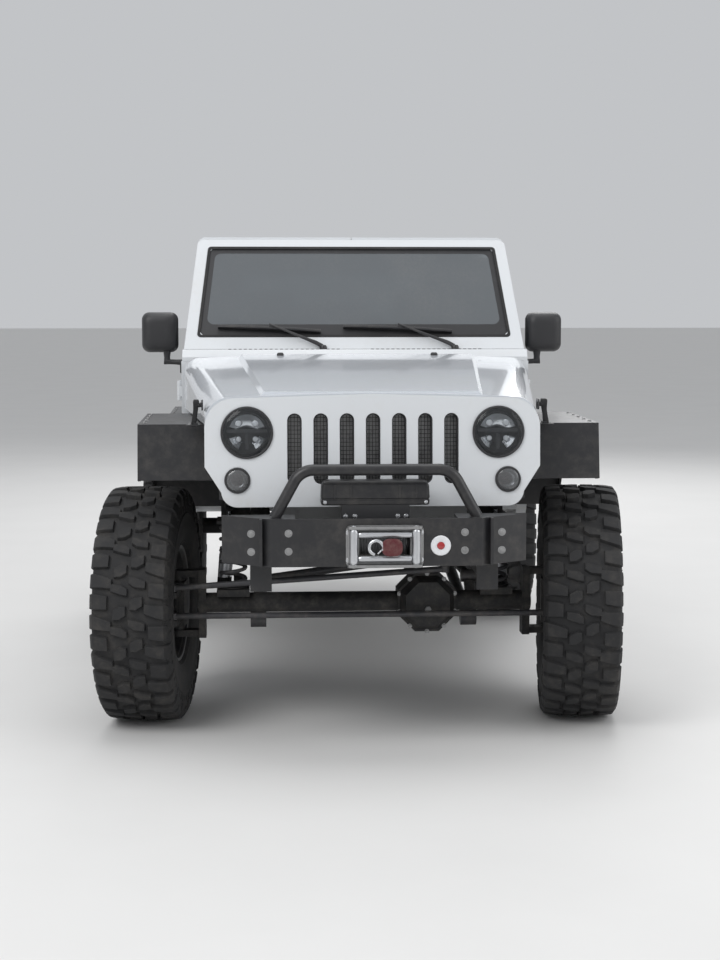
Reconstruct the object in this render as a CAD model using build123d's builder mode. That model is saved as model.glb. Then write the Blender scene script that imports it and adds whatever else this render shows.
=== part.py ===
from build123d import *
import math
import os

os.makedirs("parts", exist_ok=True)

# Layout along the car: the front faces -Y, the ground is z = 0
wheelbase = 2424
front_reach = 800
rear_reach = 1100
car_length = front_reach + wheelbase + rear_reach
front_y = front_reach - car_length / 2
rear_y = front_y + wheelbase

# Wheels and steering
tyre_r = 470
tyre_w = 318
tread_w = 284
tread_drop = 16
bead_r = 216
rim_w = 229
rim_t = 9
wheel_x = 870
kingpin_x = 750
steer_at_rest = -7
steering_arm = 150
steering_ratio = 14
tie_rod_r = 16
spindle_r = 28
axle_tube_r = 40
diff_x = 250
front_pinion = 200
rear_pinion = 210
case_front = 1060
case_rear = 1300
spring_x = 530
spring_r = 58
shock_x = 575
shock_low_z = 452
rear_shock_x = 540
rear_shock_low_z = 440
running_fit = 0.3
pin_fit = 1

# Running clearances between parts that move and parts that stay
panel_gap = 6
seat_gap = 0.3
wheel_gap = 5
gate_gap = 8

# Frame
rail_x = 420
rail_w = 80
rail_h = 120
rail_z = 600
arch_rise = 90
rail_front = -600

# Body panels
body_half = 757
wall_t = 45
rocker_z = 710
belt_z = 1420
side_lean = 0.118
roof_z = 1966
roof_t = 35
skin_t = 28
panel_t = 25
cowl_front = 621
door_front = 723
door_rear = 1700
door_sill_z = 780
roof_side_drop = 70
door_top_z = roof_z - roof_side_drop - 10
spare_standoff = 92
tub_rear = wheelbase + rear_reach - tyre_w - spare_standoff
cargo_z = 890
floor_z = 765
floor_t = 25
tunnel_w = 290
tunnel_h = 210
tailgate_half = body_half - 117
rail_rear = tub_rear - wheelbase - 90
arch_half = 560
arch_top_z = 1080

# Windscreen
screen_y = 680
screen_z = 1470
screen_angle = 29
screen_rise = 552
screen_t = 45
glass_t = 6

# Front end
grille_y = -545
grille_lean = 3.4
grille_t = 46
grille_half = 626
grille_foot = 565
grille_z = 920
grille_top = 1340
slot_count = 7
slot_pitch = 97.5
slot_w = 54
slot_low = 1005
slot_high = 1268
headlamp_x = 469
headlamp_z = 1197
headlamp_r = 97
turn_x = 505
turn_z = 1020
turn_r = 48
hood_t = 22
hood_rear = 598
hood_skirt_z = 1222
hood_tab_x = 450
hood_tab_z = 1428
fender_half = 885
fender_z = 1203
fender_t = 12
apron_x = 560
apron_t = 14
apron_low = 943

# Bumper, hoop and winch
bumper_face = -745
bumper_back = -605
bumper_half = 563
bumper_low = 725
bumper_high = 900
bumper_t = 6
hoop_r = 21
hoop_top_z = 1073
hoop_foot = 370
hoop_head = 275
winch_z = 800
winch_y = -672
drum_r = 46
fairlead_x = 28
fairlead_half = 93
fairlead_rise = 50
roller_r = 16
rope_r = 5

# Rear
spare_z = 1212
receiver_w = 63.5
receiver_bore = 51.5
hitch_pin_r = 8
rear_bumper_z = 570
rear_bumper_h = 125


def body_half_at(z):
    """Half the body's width at a height: upright below the belt, leaning in above it."""
    return body_half - max(0, z - belt_z) * side_lean


def wall_section(y, thickness, low, high, inset=0):
    """Cross-section of the left side wall between two heights, at a place along the car."""
    knee = min(max(belt_z, low), high)
    with BuildSketch(Plane.XZ.offset(-y)) as section:
        with BuildLine():
            outer = [(body_half_at(z) - inset, z) for z in (low, knee, high)]
            inner = [(x - thickness, z) for x, z in reversed(outer)]
            Polyline(*dict.fromkeys(outer + inner), close=True)
        make_face()
    return section.sketch


def beam(start, end, width, height=None):
    """Section of a straight member at its start, facing its end: round, or a rectangle."""
    plane = Plane(origin=start, z_dir=Vector(*end) - Vector(*start))
    with BuildSketch(plane) as section:
        if height is None:
            Circle(width)
        else:
            Rectangle(width, height)
    return section.sketch, (Vector(*end) - Vector(*start)).length


def at_wheel(part, side, axle_y, turn):
    """A part built about a wheel's centre, put at its corner of the car and steered."""
    facing = part.rotate(Axis.Z, 0 if side > 0 else 180)
    placed = facing.moved(Location((side * wheel_x, axle_y, tyre_r)))
    return placed.rotate(Axis((side * kingpin_x, axle_y, 0), (0, 0, 1)), turn)


# Tyre, about its own centre with its outer side at +X, its lugs standing on the carcass
tyre_half = tyre_w / 2
lug_count = 18
lug_share = 0.62
lug_arc = lug_share * 360 / lug_count
lug_depth = 15
lug_edge = tread_w / 2
# Long and short lugs by turns: inner end, drop of the tread there
lug_ends = [(8, 0), (48, 4.5)]
with BuildPart() as tyre:
    with BuildSketch(Plane.XZ):
        with BuildLine():
            bead = rim_w / 2
            Line((0, bead_r + seat_gap), (bead - 2, bead_r + seat_gap))
            Line((bead - 2, bead_r + seat_gap), (bead + 5, bead_r + 16))
            ThreePointArc(
                (bead + 5, bead_r + 16),
                (tyre_half - 2, bead_r + 118),
                (tyre_half - 12, tyre_r - 40),
            )
            Line((tyre_half - 12, tyre_r - 40), (tyre_half - 30, tyre_r - lug_depth - 8))
            Line((tyre_half - 30, tyre_r - lug_depth - 8), (0, tyre_r - lug_depth))
            mirror(about=Plane.YZ)
        make_face()
    revolve(axis=Axis.X)
    lugs = []
    for inner, drop in lug_ends:
        with BuildPart(mode=Mode.PRIVATE) as lug:
            with BuildSketch(Plane.XZ):
                with BuildLine():
                    Polyline(
                        (tyre_half - 6, tyre_r - 62),
                        (lug_edge, tyre_r - tread_drop),
                        (inner, tyre_r - drop),
                        (inner, tyre_r - lug_depth - 9),
                        (tyre_half - 30, tyre_r - lug_depth - 19),
                        (tyre_half - 22, tyre_r - 50),
                        close=True,
                    )
                make_face()
            revolve(axis=Axis.X, revolution_arc=lug_arc)
        lugs.append(lug.part)
    ring = []
    for half_turn, stagger in ((0, 0), (180, 0.5)):
        for pitch in range(lug_count):
            turn = 180 - lug_arc / 2 + (pitch + stagger) * 360 / lug_count
            ring.append(Rotation(turn, 0, 0) * Rotation(0, 0, half_turn) * lugs[pitch % 2])
    add(ring)

# Rim with its hub and brake disc, the face set back from the outer lip
rim_lip = bead_r + 18
barrel_r = bead_r - rim_t
face_x = 62
face_t = 20
hub_r = 74
hub_back = face_x - 66
disc_r = 160
disc_x = -52
disc_t = 22
spoke_count = 5
with BuildPart() as rim:
    with BuildSketch(Plane.XZ):
        with BuildLine():
            lip = rim_w / 2 + 11
            seat = rim_w / 2
            Polyline(
                (-lip, rim_lip),
                (-seat, bead_r),
                (seat, bead_r),
                (lip, rim_lip),
                (lip, rim_lip - 14),
                (seat - 8, barrel_r),
                (8 - seat, barrel_r),
                (-lip, rim_lip - 14),
                close=True,
            )
        make_face()
    revolve(axis=Axis.X)
    with BuildSketch(Plane.XZ):
        with BuildLine():
            Polyline(
                (hub_back, spindle_r + running_fit),
                (face_x - 30, spindle_r + running_fit),
                (face_x - 20, 0),
                (face_x + 12, 0),
                (face_x + 12, 36),
                (face_x - 4, 60),
                (face_x - 4, hub_r),
                (face_x + 26, barrel_r - 24),
                (face_x + 26, barrel_r + 2),
                (face_x + 26 - face_t, barrel_r + 2),
                (face_x - 26, hub_r),
                (hub_back, hub_r),
                close=True,
            )
        make_face()
    revolve(axis=Axis.X)
    with BuildSketch(Plane.YZ.offset(face_x - 20)):
        with BuildSketch(mode=Mode.PRIVATE) as window:
            with BuildLine():
                Polyline(
                    (98, -22),
                    (barrel_r - 26, -62),
                    (barrel_r - 14, 0),
                    (barrel_r - 26, 62),
                    (98, 22),
                    close=True,
                )
            make_face()
        with PolarLocations(0, spoke_count, start_angle=90):
            add(window.sketch)
    extrude(amount=70, mode=Mode.SUBTRACT)

# A road wheel's rim carries the brake disc on its hub; the spare has none
with BuildPart() as braked_rim:
    add(rim.part)
    with BuildSketch(Plane.XZ):
        with BuildLine():
            Polyline(
                (disc_x, hub_r - 14),
                (disc_x, disc_r),
                (disc_x + disc_t, disc_r),
                (disc_x + disc_t, hub_r),
                (hub_back + 4, hub_r),
                (hub_back + 4, hub_r - 14),
                close=True,
            )
        make_face()
    revolve(axis=Axis.X)

wheels = [
    ("front_left", 1, front_y, steer_at_rest),
    ("front_right", -1, front_y, steer_at_rest),
    ("rear_left", 1, rear_y, 0),
    ("rear_right", -1, rear_y, 0),
]
for place, side, axle_y, turn in wheels:
    for kind, piece in (("tyre", tyre), ("rim", braked_rim)):
        wheel_piece = at_wheel(piece.part, side, axle_y, turn)
        wheel_piece.label = f"{kind}_{place}"
        export_step(wheel_piece, f"parts/{kind}_{place}.step")

# The spare lies flat against its carrier, outer side to the rear
spare_y = rear_y + rear_reach - tyre_w / 2
for kind, piece in (("tyre", tyre), ("rim", rim)):
    spare_piece = piece.part.rotate(Axis.Z, 90).moved(Location((0, spare_y, spare_z)))
    spare_piece.label = f"spare_{kind}"
    export_step(spare_piece, f"parts/spare_{kind}.step")

# Steering knuckle about the left wheel's centre, with its unit bearing, arm and caliper
king = kingpin_x - wheel_x
ball_z = 100
arm_z = -56
arm_t = 24
drag_z = 56
spindle_end = face_x - 32
caliper_arc = 44
caliper_low = 118
caliper_high = 188
caliper_w = 68


def knuckle_piece(with_drag_arm):
    """The knuckle that carries one front wheel; one side's has a second, upper arm."""
    with BuildPart() as knuckle:
        with Locations((king, 0, 0)):
            Box(58, 76, 2 * ball_z - 24)
            Cylinder(22, 2 * ball_z + 16)
        with BuildSketch(Plane.YZ.offset(king)):
            Circle(58)
        extrude(amount=34)
        with BuildSketch(Plane.YZ.offset(king)):
            Circle(spindle_r)
        extrude(amount=spindle_end - king)
        arms = [arm_z, drag_z] if with_drag_arm else [arm_z]
        for z in arms:
            with BuildSketch(Plane.XY.offset(z - arm_t / 2)):
                with Locations((king, -steering_arm)):
                    Circle(20)
                with Locations((king, -steering_arm / 2)):
                    Rectangle(34, steering_arm)
            extrude(amount=arm_t)
            with Locations((king, -steering_arm, z)):
                Hole(9 + pin_fit, depth=arm_t)
        caliper_mid = disc_x + disc_t / 2
        with BuildSketch(Plane.XY.rotated((-caliper_arc / 2, 0, 0))):
            with Locations((caliper_mid, (caliper_low + caliper_high) / 2)):
                Rectangle(caliper_w, caliper_high - caliper_low)
            with Locations((caliper_mid, disc_r / 2)):
                Rectangle(disc_t + 2 * wheel_gap, disc_r + 2 * wheel_gap, mode=Mode.SUBTRACT)
        revolve(axis=Axis.X, revolution_arc=caliper_arc)
        with BuildSketch(Plane.YZ.offset(king)):
            with Locations((caliper_high / 2, 0)):
                Rectangle(caliper_high - 30, 44)
        extrude(amount=caliper_mid - caliper_w / 2 - king + 6)
    return knuckle.part


for place, side, upper_arm in (("left", 1, False), ("right", -1, True)):
    corner = knuckle_piece(upper_arm)
    if side < 0:
        corner = mirror(corner, about=Plane.YZ).rotate(Axis.Z, 180)
    placed = at_wheel(corner, side, front_y, steer_at_rest)
    placed.label = f"knuckle_{place}"
    export_step(placed, f"parts/knuckle_{place}.step")

# Steering rods: the tie rod joins both knuckles, the drag link comes from the pitman arm
rod_z = tyre_r + arm_z + arm_t / 2
drag_low_z = tyre_r + drag_z + arm_t / 2
pitman_x = 330
pitman_z = 640
rod_eye = 18
stud_r = 9


def steered(x, y):
    """A point that turns with a front wheel about its kingpin, at its place at rest."""
    turn = math.radians(steer_at_rest)
    return (x * math.cos(turn) - y * math.sin(turn), x * math.sin(turn) + y * math.cos(turn))


arm_x, arm_y = steered(0, -steering_arm)
with BuildPart() as tie_rod:
    for side in (1, -1):
        with Locations((side * kingpin_x + arm_x, front_y + arm_y, rod_z + 16)):
            Cylinder(rod_eye, 26)
        with Locations((side * kingpin_x + arm_x, front_y + arm_y, rod_z - 6)):
            Cylinder(stud_r, 24)
    ends = [(side * kingpin_x + arm_x, front_y + arm_y, rod_z + 16) for side in (-1, 1)]
    section, reach = beam(ends[0], ends[1], tie_rod_r - 4)
    extrude(section, amount=reach)
tie_rod.part.label = "tie_rod"
export_step(tie_rod.part, "parts/tie_rod.step")

drag_start = (-kingpin_x + arm_x, front_y + arm_y, drag_low_z + 16)
drag_end = (pitman_x + arm_x, front_y + arm_y, pitman_z - 18)
with BuildPart() as drag_link:
    with Locations(drag_start, drag_end):
        Cylinder(rod_eye, 26)
    with Locations((drag_start[0], drag_start[1], drag_low_z - 6)):
        Cylinder(stud_r, 24)
    with Locations((drag_end[0], drag_end[1], pitman_z + 4)):
        Cylinder(stud_r, 24)
    section, reach = beam(drag_start, drag_end, tie_rod_r - 4)
    extrude(section, amount=reach)
drag_link.part.label = "drag_link"
export_step(drag_link.part, "parts/drag_link.step")

with BuildPart() as pitman_arm:
    with BuildSketch(Plane.XY.offset(pitman_z)):
        with Locations((pitman_x, front_y)):
            Circle(26)
        with Locations((pitman_x + arm_x, front_y + arm_y)):
            Circle(20)
        with Locations(((2 * pitman_x + arm_x) / 2, front_y + arm_y / 2)):
            Rectangle(34, steering_arm, rotation=steer_at_rest)
    extrude(amount=24)
    with Locations((pitman_x + arm_x, front_y + arm_y, pitman_z + 12)):
        Hole(stud_r + pin_fit, depth=30)
    with Locations((pitman_x, front_y, pitman_z + 50)):
        Cylinder(16, 100)
pitman_arm.part.label = "pitman_arm"
export_step(pitman_arm.part, "parts/pitman_arm.step")

# Control arms: eye at the axle, eye at the frame, radius; mirrored to both sides
arm_rows = [
    ((430, front_y + 62, 388), (400, front_y + 690, 560), 24),
    ((430, front_y + 52, 562), (340, front_y + 560, 640), 18),
    ((500, rear_y - 62, 388), (430, rear_y - 600, 560), 24),
    ((300, rear_y - 62, 560), (340, rear_y - 420, 650), 18),
]
arm_eye_half = 32
arm_eye_t = 8


def arm_bracket(axle_y, eye, r, side):
    """Section and length of the bracket from an axle tube out to a control arm's eye."""
    middle = Vector(side * eye[0], axle_y, tyre_r)
    way = Vector(side * eye[0], eye[1], eye[2]) - middle
    reach = way.length - r - arm_eye_t - seat_gap
    return beam(middle, middle + way.normalized() * reach, 44, 36)


# Front axle: tubes, housing with its cover to the front, yokes round the knuckles
yoke_in = kingpin_x - 95
with BuildPart() as front_axle:
    section, reach = beam((-yoke_in - 20, front_y, tyre_r), (yoke_in + 20, front_y, tyre_r), axle_tube_r)
    extrude(section, amount=reach)
    with BuildSketch(Plane.XZ.offset(-front_y - 70)):
        with Locations((diff_x, tyre_r)):
            RegularPolygon(128, 8, rotation=22.5)
    extrude(amount=120)
    with BuildSketch(Plane.XZ.offset(-front_y + 50)):
        with Locations((diff_x, tyre_r)):
            RegularPolygon(118, 8, rotation=22.5)
    extrude(amount=46, taper=24)
    with BuildSketch(Plane.XZ.offset(-front_y - front_pinion)):
        with Locations((diff_x, tyre_r + 20)):
            Circle(48)
    extrude(amount=160)
    for side in (1, -1):
        with Locations((side * yoke_in, front_y, tyre_r)):
            Box(30, 76, 2 * ball_z + 76)
        for end in (1, -1):
            arm_mid = tyre_r + end * (ball_z + 8 + seat_gap + 13)
            with Locations((side * (yoke_in + kingpin_x) / 2, front_y, arm_mid)):
                Box(kingpin_x - yoke_in, 56, 26)
            with Locations((side * kingpin_x, front_y, arm_mid)):
                Cylinder(28, 26)
        with Locations((side * spring_x, front_y, tyre_r + 46)):
            Box(130, 130, 28)
        with Locations((side * shock_x, front_y + 62 - seat_gap, shock_low_z)):
            Box(44, 60, 50)
    with Locations((-spring_x + 20, front_y + 78 - seat_gap, tyre_r + 66)):
        Box(40, 26, 68)
    for eye, _, r in arm_rows[:2]:
        for side in (1, -1):
            section, reach = arm_bracket(front_y, eye, r, side)
            extrude(section, amount=reach)
front_axle.part.label = "front_axle"
export_step(front_axle.part, "parts/front_axle.step")

# Rear axle, with the housing in the middle and a spindle in each rear hub
with BuildPart() as rear_axle:
    flange_x = wheel_x + king
    section, reach = beam((-flange_x - 34, rear_y, tyre_r), (flange_x + 34, rear_y, tyre_r), 58)
    extrude(section, amount=reach)
    section, reach = beam((-flange_x, rear_y, tyre_r), (flange_x, rear_y, tyre_r), 70)
    extrude(section, amount=reach, mode=Mode.SUBTRACT)
    section, reach = beam((-flange_x, rear_y, tyre_r), (flange_x, rear_y, tyre_r), axle_tube_r + 2)
    extrude(section, amount=reach)
    spindle_reach = wheel_x + spindle_end
    section, reach = beam((-spindle_reach, rear_y, tyre_r), (spindle_reach, rear_y, tyre_r), spindle_r)
    extrude(section, amount=reach)
    with BuildSketch(Plane.XZ.offset(-rear_y - 60)):
        with Locations((0, tyre_r)):
            RegularPolygon(135, 8, rotation=22.5)
    extrude(amount=120)
    with BuildSketch(Plane.XZ.offset(-rear_y - 60)):
        with Locations((0, tyre_r)):
            RegularPolygon(125, 8, rotation=22.5)
    extrude(amount=-46, taper=24)
    with BuildSketch(Plane.XZ.offset(-rear_y)):
        with Locations((0, tyre_r + 20)):
            Circle(50)
    extrude(amount=rear_pinion)
    for side in (1, -1):
        with Locations((side * rail_x, rear_y, tyre_r + 47)):
            Box(130, 130, 26)
        with Locations((side * rear_shock_x, rear_y + 68 - seat_gap, rear_shock_low_z)):
            Box(44, 60, 50)
    with Locations((rail_x - 25, rear_y + 89 - seat_gap, tyre_r + 64)):
        Box(40, 58, 72)
    for eye, _, r in arm_rows[2:]:
        for side in (1, -1):
            section, reach = arm_bracket(rear_y, eye, r, side)
            extrude(section, amount=reach)
rear_axle.part.label = "rear_axle"
export_step(rear_axle.part, "parts/rear_axle.step")

# Frame rails: side outline of the left one, kicked up over both axles, then its mirror image
rail_points = [
    (front_y + rail_front, arch_rise - 20),
    (front_y + 440, arch_rise),
    (front_y + 740, 0),
    (rear_y - 560, 0),
    (rear_y - 280, arch_rise + 20),
    (rear_y + 380, arch_rise + 20),
    (rear_y + rail_rear, arch_rise - 20),
]
mount_rows = [
    (front_y + 900, rail_z + rail_h - 1, floor_z - seat_gap),
    (front_y + 1600, rail_z + rail_h - 1, floor_z - seat_gap),
    (rear_y - 150, rail_z + arch_rise + rail_h + 19, cargo_z - floor_t - seat_gap),
    (rear_y + 320, rail_z + arch_rise + rail_h + 19, cargo_z - floor_t - seat_gap),
]
with BuildPart() as frame_rails:
    with BuildSketch(Plane.YZ.offset(rail_x - rail_w / 2)):
        with BuildLine():
            low_side = [(y, rail_z + rise) for y, rise in rail_points]
            top_side = [(y, z + rail_h) for y, z in reversed(low_side)]
            Polyline(*low_side, *top_side, close=True)
        make_face()
    extrude(amount=rail_w)
    front_rail_top = rail_z + arch_rise + rail_h
    rail_out = rail_x + rail_w / 2
    tower_reach = spring_x + spring_r + 6 - rail_out
    with Locations((rail_out + tower_reach / 2, front_y, front_rail_top - 6)):
        Box(tower_reach, 150, 12)
    for end in (1, -1):
        with Locations((rail_out + tower_reach / 2 - 10, front_y + end * 70, front_rail_top - 36)):
            Box(tower_reach - 20, 8, 72)
    with Locations((rail_out + 60, front_y + 137 + seat_gap, front_rail_top + 15)):
        Box(120, 10, 90)
    mirror(about=Plane.YZ)
    with Locations((rail_out - rail_w - 25, front_y + 76 - seat_gap, rail_z + 75)):
        Box(50, 30, 90)
    with Locations((25 + rail_w - rail_out, rear_y + 103 - seat_gap, rail_z + 55)):
        Box(50, 30, 150)
    with Locations((rail_x - rail_w / 2 - 50, front_y, (pitman_z + 34 + front_rail_top) / 2)):
        Box(100, 130, front_rail_top - pitman_z - 34)
    with Locations((pitman_x, front_y, pitman_z + 75)):
        Cylinder(16 + seat_gap, 100, mode=Mode.SUBTRACT)
    for mount_y, low, high in mount_rows:
        for side in (1, -1):
            with Locations((side * rail_x, mount_y, (low + high) / 2)):
                Cylinder(34, high - low)
    for start, end, r in arm_rows:
        for side in (1, -1):
            high = rail_z + 100
            if end[0] + arm_eye_half < rail_x - rail_w / 2:
                bracket_in = end[0] + arm_eye_half + seat_gap
                low = end[2] - r
                with Locations((side * (bracket_in + rail_x) / 2, end[1], (low + high) / 2)):
                    Box(rail_x - bracket_in, 2 * r, high - low)
            else:
                low = end[2] + r + arm_eye_t + seat_gap
                with Locations((side * end[0], end[1], (low + high) / 2)):
                    Box(50, 50, high - low)
frame_rails.part.label = "frame_rails"
export_step(frame_rails.part, "parts/frame_rails.step")

# Crossmembers between the rails: place, height of the middle, depth and height
crossmember_rows = [
    (front_y - 470, rail_z + arch_rise + 35, 70, 70),
    (front_y + 300, rail_z + arch_rise + 22, 60, 50),
    (front_y + 1180, rail_z + 17, 160, 25),
    (rear_y - 440, rail_z + 135, 60, 50),
    (rear_y + 200, rail_z + arch_rise + 90, 80, 60),
    (rear_y + rail_rear - 40, rail_z + arch_rise + 35, 70, 100),
]
with BuildPart() as crossmembers:
    for y, z, depth, height in crossmember_rows:
        with Locations((0, y, z)):
            Box(2 * rail_x - rail_w, depth, height)
crossmembers.part.label = "crossmembers"
export_step(crossmembers.part, "parts/crossmembers.step")

# Engine, gearbox and transfer case as one plain block
with BuildPart() as powertrain:
    with Locations((0, front_y + 210, 985)):
        Box(500, 520, 410)
    with Locations((0, front_y + 780, 775)):
        Box(240, 640, 180)
    with Locations((60, front_y + (case_front + case_rear) / 2, 690)):
        Box(260, case_rear - case_front, 120)
powertrain.part.label = "powertrain"
export_step(powertrain.part, "parts/powertrain.step")

radiator_y = front_y - 440
radiator_foot = crossmember_rows[0][1] + crossmember_rows[0][3] / 2
with BuildPart() as radiator:
    with Locations((0, radiator_y, (radiator_foot + grille_top - 60) / 2)):
        Box(2 * rail_x - rail_w - 40, 45, grille_top - 60 - radiator_foot)
radiator.part.label = "radiator"
export_step(radiator.part, "parts/radiator.step")

# Floor pan: cabin floor with its tunnel, a step up to the cargo floor, wheel housings
inner_half = body_half - wall_t - seat_gap
floor_rear = tub_rear - wall_t - panel_gap
heel_y = front_y + door_rear + 60
house_in = 585
housing_t = 20
arch_slope = 210
with BuildPart() as floor_pan:
    with BuildSketch(Plane.YZ):
        with BuildLine():
            Polyline(
                (front_y + cowl_front + panel_t / 2, floor_z),
                (heel_y, floor_z),
                (heel_y, cargo_z - floor_t),
                (front_y + floor_rear, cargo_z - floor_t),
                (front_y + floor_rear, cargo_z),
                (heel_y - floor_t, cargo_z),
                (heel_y - floor_t, floor_z + floor_t),
                (front_y + cowl_front + panel_t / 2, floor_z + floor_t),
                close=True,
            )
        make_face()
    extrude(amount=inner_half, both=True)
    with BuildSketch(Plane.XZ.offset(-heel_y + floor_t)):
        with Locations((0, floor_z + tunnel_h / 2)):
            Rectangle(tunnel_w, tunnel_h)
    tunnel_len = heel_y - floor_t - (front_y + cowl_front + panel_t / 2)
    extrude(amount=tunnel_len)
    with BuildSketch(Plane.XZ.offset(-heel_y - 1)):
        with Locations((0, floor_z + tunnel_h / 2 - floor_t)):
            Rectangle(tunnel_w - 2 * floor_t, tunnel_h)
    extrude(amount=tunnel_len + 80, mode=Mode.SUBTRACT)
    for side in (1, -1):
        with BuildSketch(Plane.YZ.offset(side * house_in)):
            with BuildLine():
                Polyline(
                    (rear_y - arch_half, cargo_z - floor_t),
                    (rear_y - arch_half + arch_slope, arch_top_z + housing_t),
                    (rear_y + arch_half - arch_slope, arch_top_z + housing_t),
                    (rear_y + arch_half, cargo_z - floor_t),
                    close=True,
                )
            make_face()
        extrude(amount=side * (inner_half - house_in))
        with BuildSketch(Plane.YZ.offset(side * (house_in + housing_t))):
            with BuildLine():
                Polyline(
                    (rear_y - arch_half + 15, cargo_z - 70),
                    (rear_y - arch_half + 15 + arch_slope, arch_top_z),
                    (rear_y + arch_half - 15 - arch_slope, arch_top_z),
                    (rear_y + arch_half - 15, cargo_z - 70),
                    close=True,
                )
            make_face()
        extrude(amount=side * (inner_half - house_in), mode=Mode.SUBTRACT)
floor_pan.part.label = "floor_pan"
export_step(floor_pan.part, "parts/floor_pan.step")

# Door outline seen from the side, shared by the door, its opening and its window
sill_corner = 80
pillar_gap = 14
pillar_run = math.tan(math.radians(screen_angle))
pillar_y = screen_y + screen_t / math.cos(math.radians(screen_angle)) + pillar_gap


def pillar_at(z):
    """Place of the door's sloping front edge, just behind the windscreen pillar."""
    return front_y + pillar_y + (z - screen_z) * pillar_run


def door_outline(margin, top):
    """The door seen from the side, larger by a margin, up to a height."""
    front, rear = front_y + door_front - margin, front_y + door_rear + margin
    sill = door_sill_z - margin
    with BuildSketch(Plane.YZ) as outline:
        with BuildLine():
            Polyline(
                (front + sill_corner, sill),
                (rear, sill),
                (rear, top),
                (pillar_at(top) - margin, top),
                (pillar_at(belt_z) - margin, belt_z),
                (front, belt_z),
                (front, sill + sill_corner),
                close=True,
            )
        make_face()
    return outline.sketch


hinge_x = body_half + 13
hinge_y = door_front - 12
hinge_rows = [900, 1290]
hinge_r = 10
knuckle_h = 46
gate_hinge_x = -tailgate_half + 4
gate_hinge_y = tub_rear + 14
gate_hinge_rows = [930, 1290]

# Tub side: rocker, rear quarter with its wheel arch, and cowl side, round the door opening
with BuildPart() as body_sides:
    with BuildSketch(Plane.YZ):
        with BuildLine():
            Polyline(
                (front_y + cowl_front, rocker_z + 90),
                (front_y + cowl_front + 60, rocker_z),
                (front_y + tub_rear - 60, rocker_z),
                (front_y + tub_rear, rocker_z + 60),
                (front_y + tub_rear, belt_z),
                (front_y + cowl_front, belt_z),
                close=True,
            )
        make_face()
    extrude(amount=body_half)
    with BuildSketch(Plane.YZ):
        with BuildLine():
            Polyline(
                (rear_y - arch_half, rocker_z - 40),
                (rear_y - arch_half, cargo_z - 40),
                (rear_y - arch_half + arch_slope, arch_top_z),
                (rear_y + arch_half - arch_slope, arch_top_z),
                (rear_y + arch_half, cargo_z - 40),
                (rear_y + arch_half, rocker_z - 40),
                close=True,
            )
        make_face()
    extrude(amount=body_half + 1, mode=Mode.SUBTRACT)
    opening = door_outline(panel_gap, belt_z + 1)
    extrude(opening, amount=body_half + 1, mode=Mode.SUBTRACT)
    inner_len = tub_rear - cowl_front + 2
    with Locations((0, front_y + cowl_front + inner_len / 2 - panel_t - 2, belt_z / 2 + rocker_z / 2)):
        Box(2 * (body_half - wall_t), inner_len, belt_z - rocker_z + 2, mode=Mode.SUBTRACT)
    with Locations((0, front_y + tub_rear, belt_z / 2 + rocker_z / 2)):
        Box(2 * (tailgate_half + gate_gap), 4 * panel_t, belt_z - rocker_z + 2, mode=Mode.SUBTRACT)
    for z in hinge_rows:
        with Locations((hinge_x, front_y + hinge_y, z)):
            Cylinder(hinge_r, knuckle_h)
        with Locations((body_half + 4, front_y + hinge_y - 38, z)):
            Box(8, 76, knuckle_h)
        with Locations((body_half + 8, front_y + hinge_y - 5, z)):
            Box(14, 10, knuckle_h)
    corners = body_sides.edges().filter_by(Axis.Z).group_by(Axis.Y)[-1].sort_by(Axis.X)[-1]
    fillet(corners, 24)
    mirror(about=Plane.YZ)
    for z in gate_hinge_rows:
        with Locations((gate_hinge_x, front_y + gate_hinge_y, z)):
            Cylinder(hinge_r, knuckle_h)
        with Locations((gate_hinge_x - 46, front_y + tub_rear + 4, z)):
            Box(72, 8, knuckle_h)
        with Locations((gate_hinge_x - 8, front_y + gate_hinge_y - 4, z)):
            Box(14, 12, knuckle_h)
body_sides.part.label = "body_sides"
export_step(body_sides.part, "parts/body_sides.step")

# Cowl: the panel under the windscreen and the firewall below it
with BuildPart() as cowl:
    with BuildSketch(Plane.YZ):
        with BuildLine():
            Polyline(
                (front_y + cowl_front, belt_z + seat_gap),
                (front_y + cowl_front, belt_z + 18),
                (front_y + cowl_front + 22, screen_z),
                (front_y + door_front - panel_gap, screen_z),
                (front_y + door_front - panel_gap, belt_z + seat_gap),
                close=True,
            )
        make_face()
    extrude(amount=body_half - 4, both=True)
    with BuildSketch(Plane.XZ.offset(-front_y - cowl_front)):
        with Locations((0, (floor_z + belt_z) / 2)):
            Rectangle(2 * (inner_half - seat_gap), belt_z - floor_z + 2 * seat_gap)
        with Locations((0, floor_z + tunnel_h / 2 - floor_t)):
            Rectangle(tunnel_w - 2 * floor_t, tunnel_h, mode=Mode.SUBTRACT)
    extrude(amount=-panel_t / 2)
cowl.part.label = "cowl"
export_step(cowl.part, "parts/cowl.step")

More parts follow.
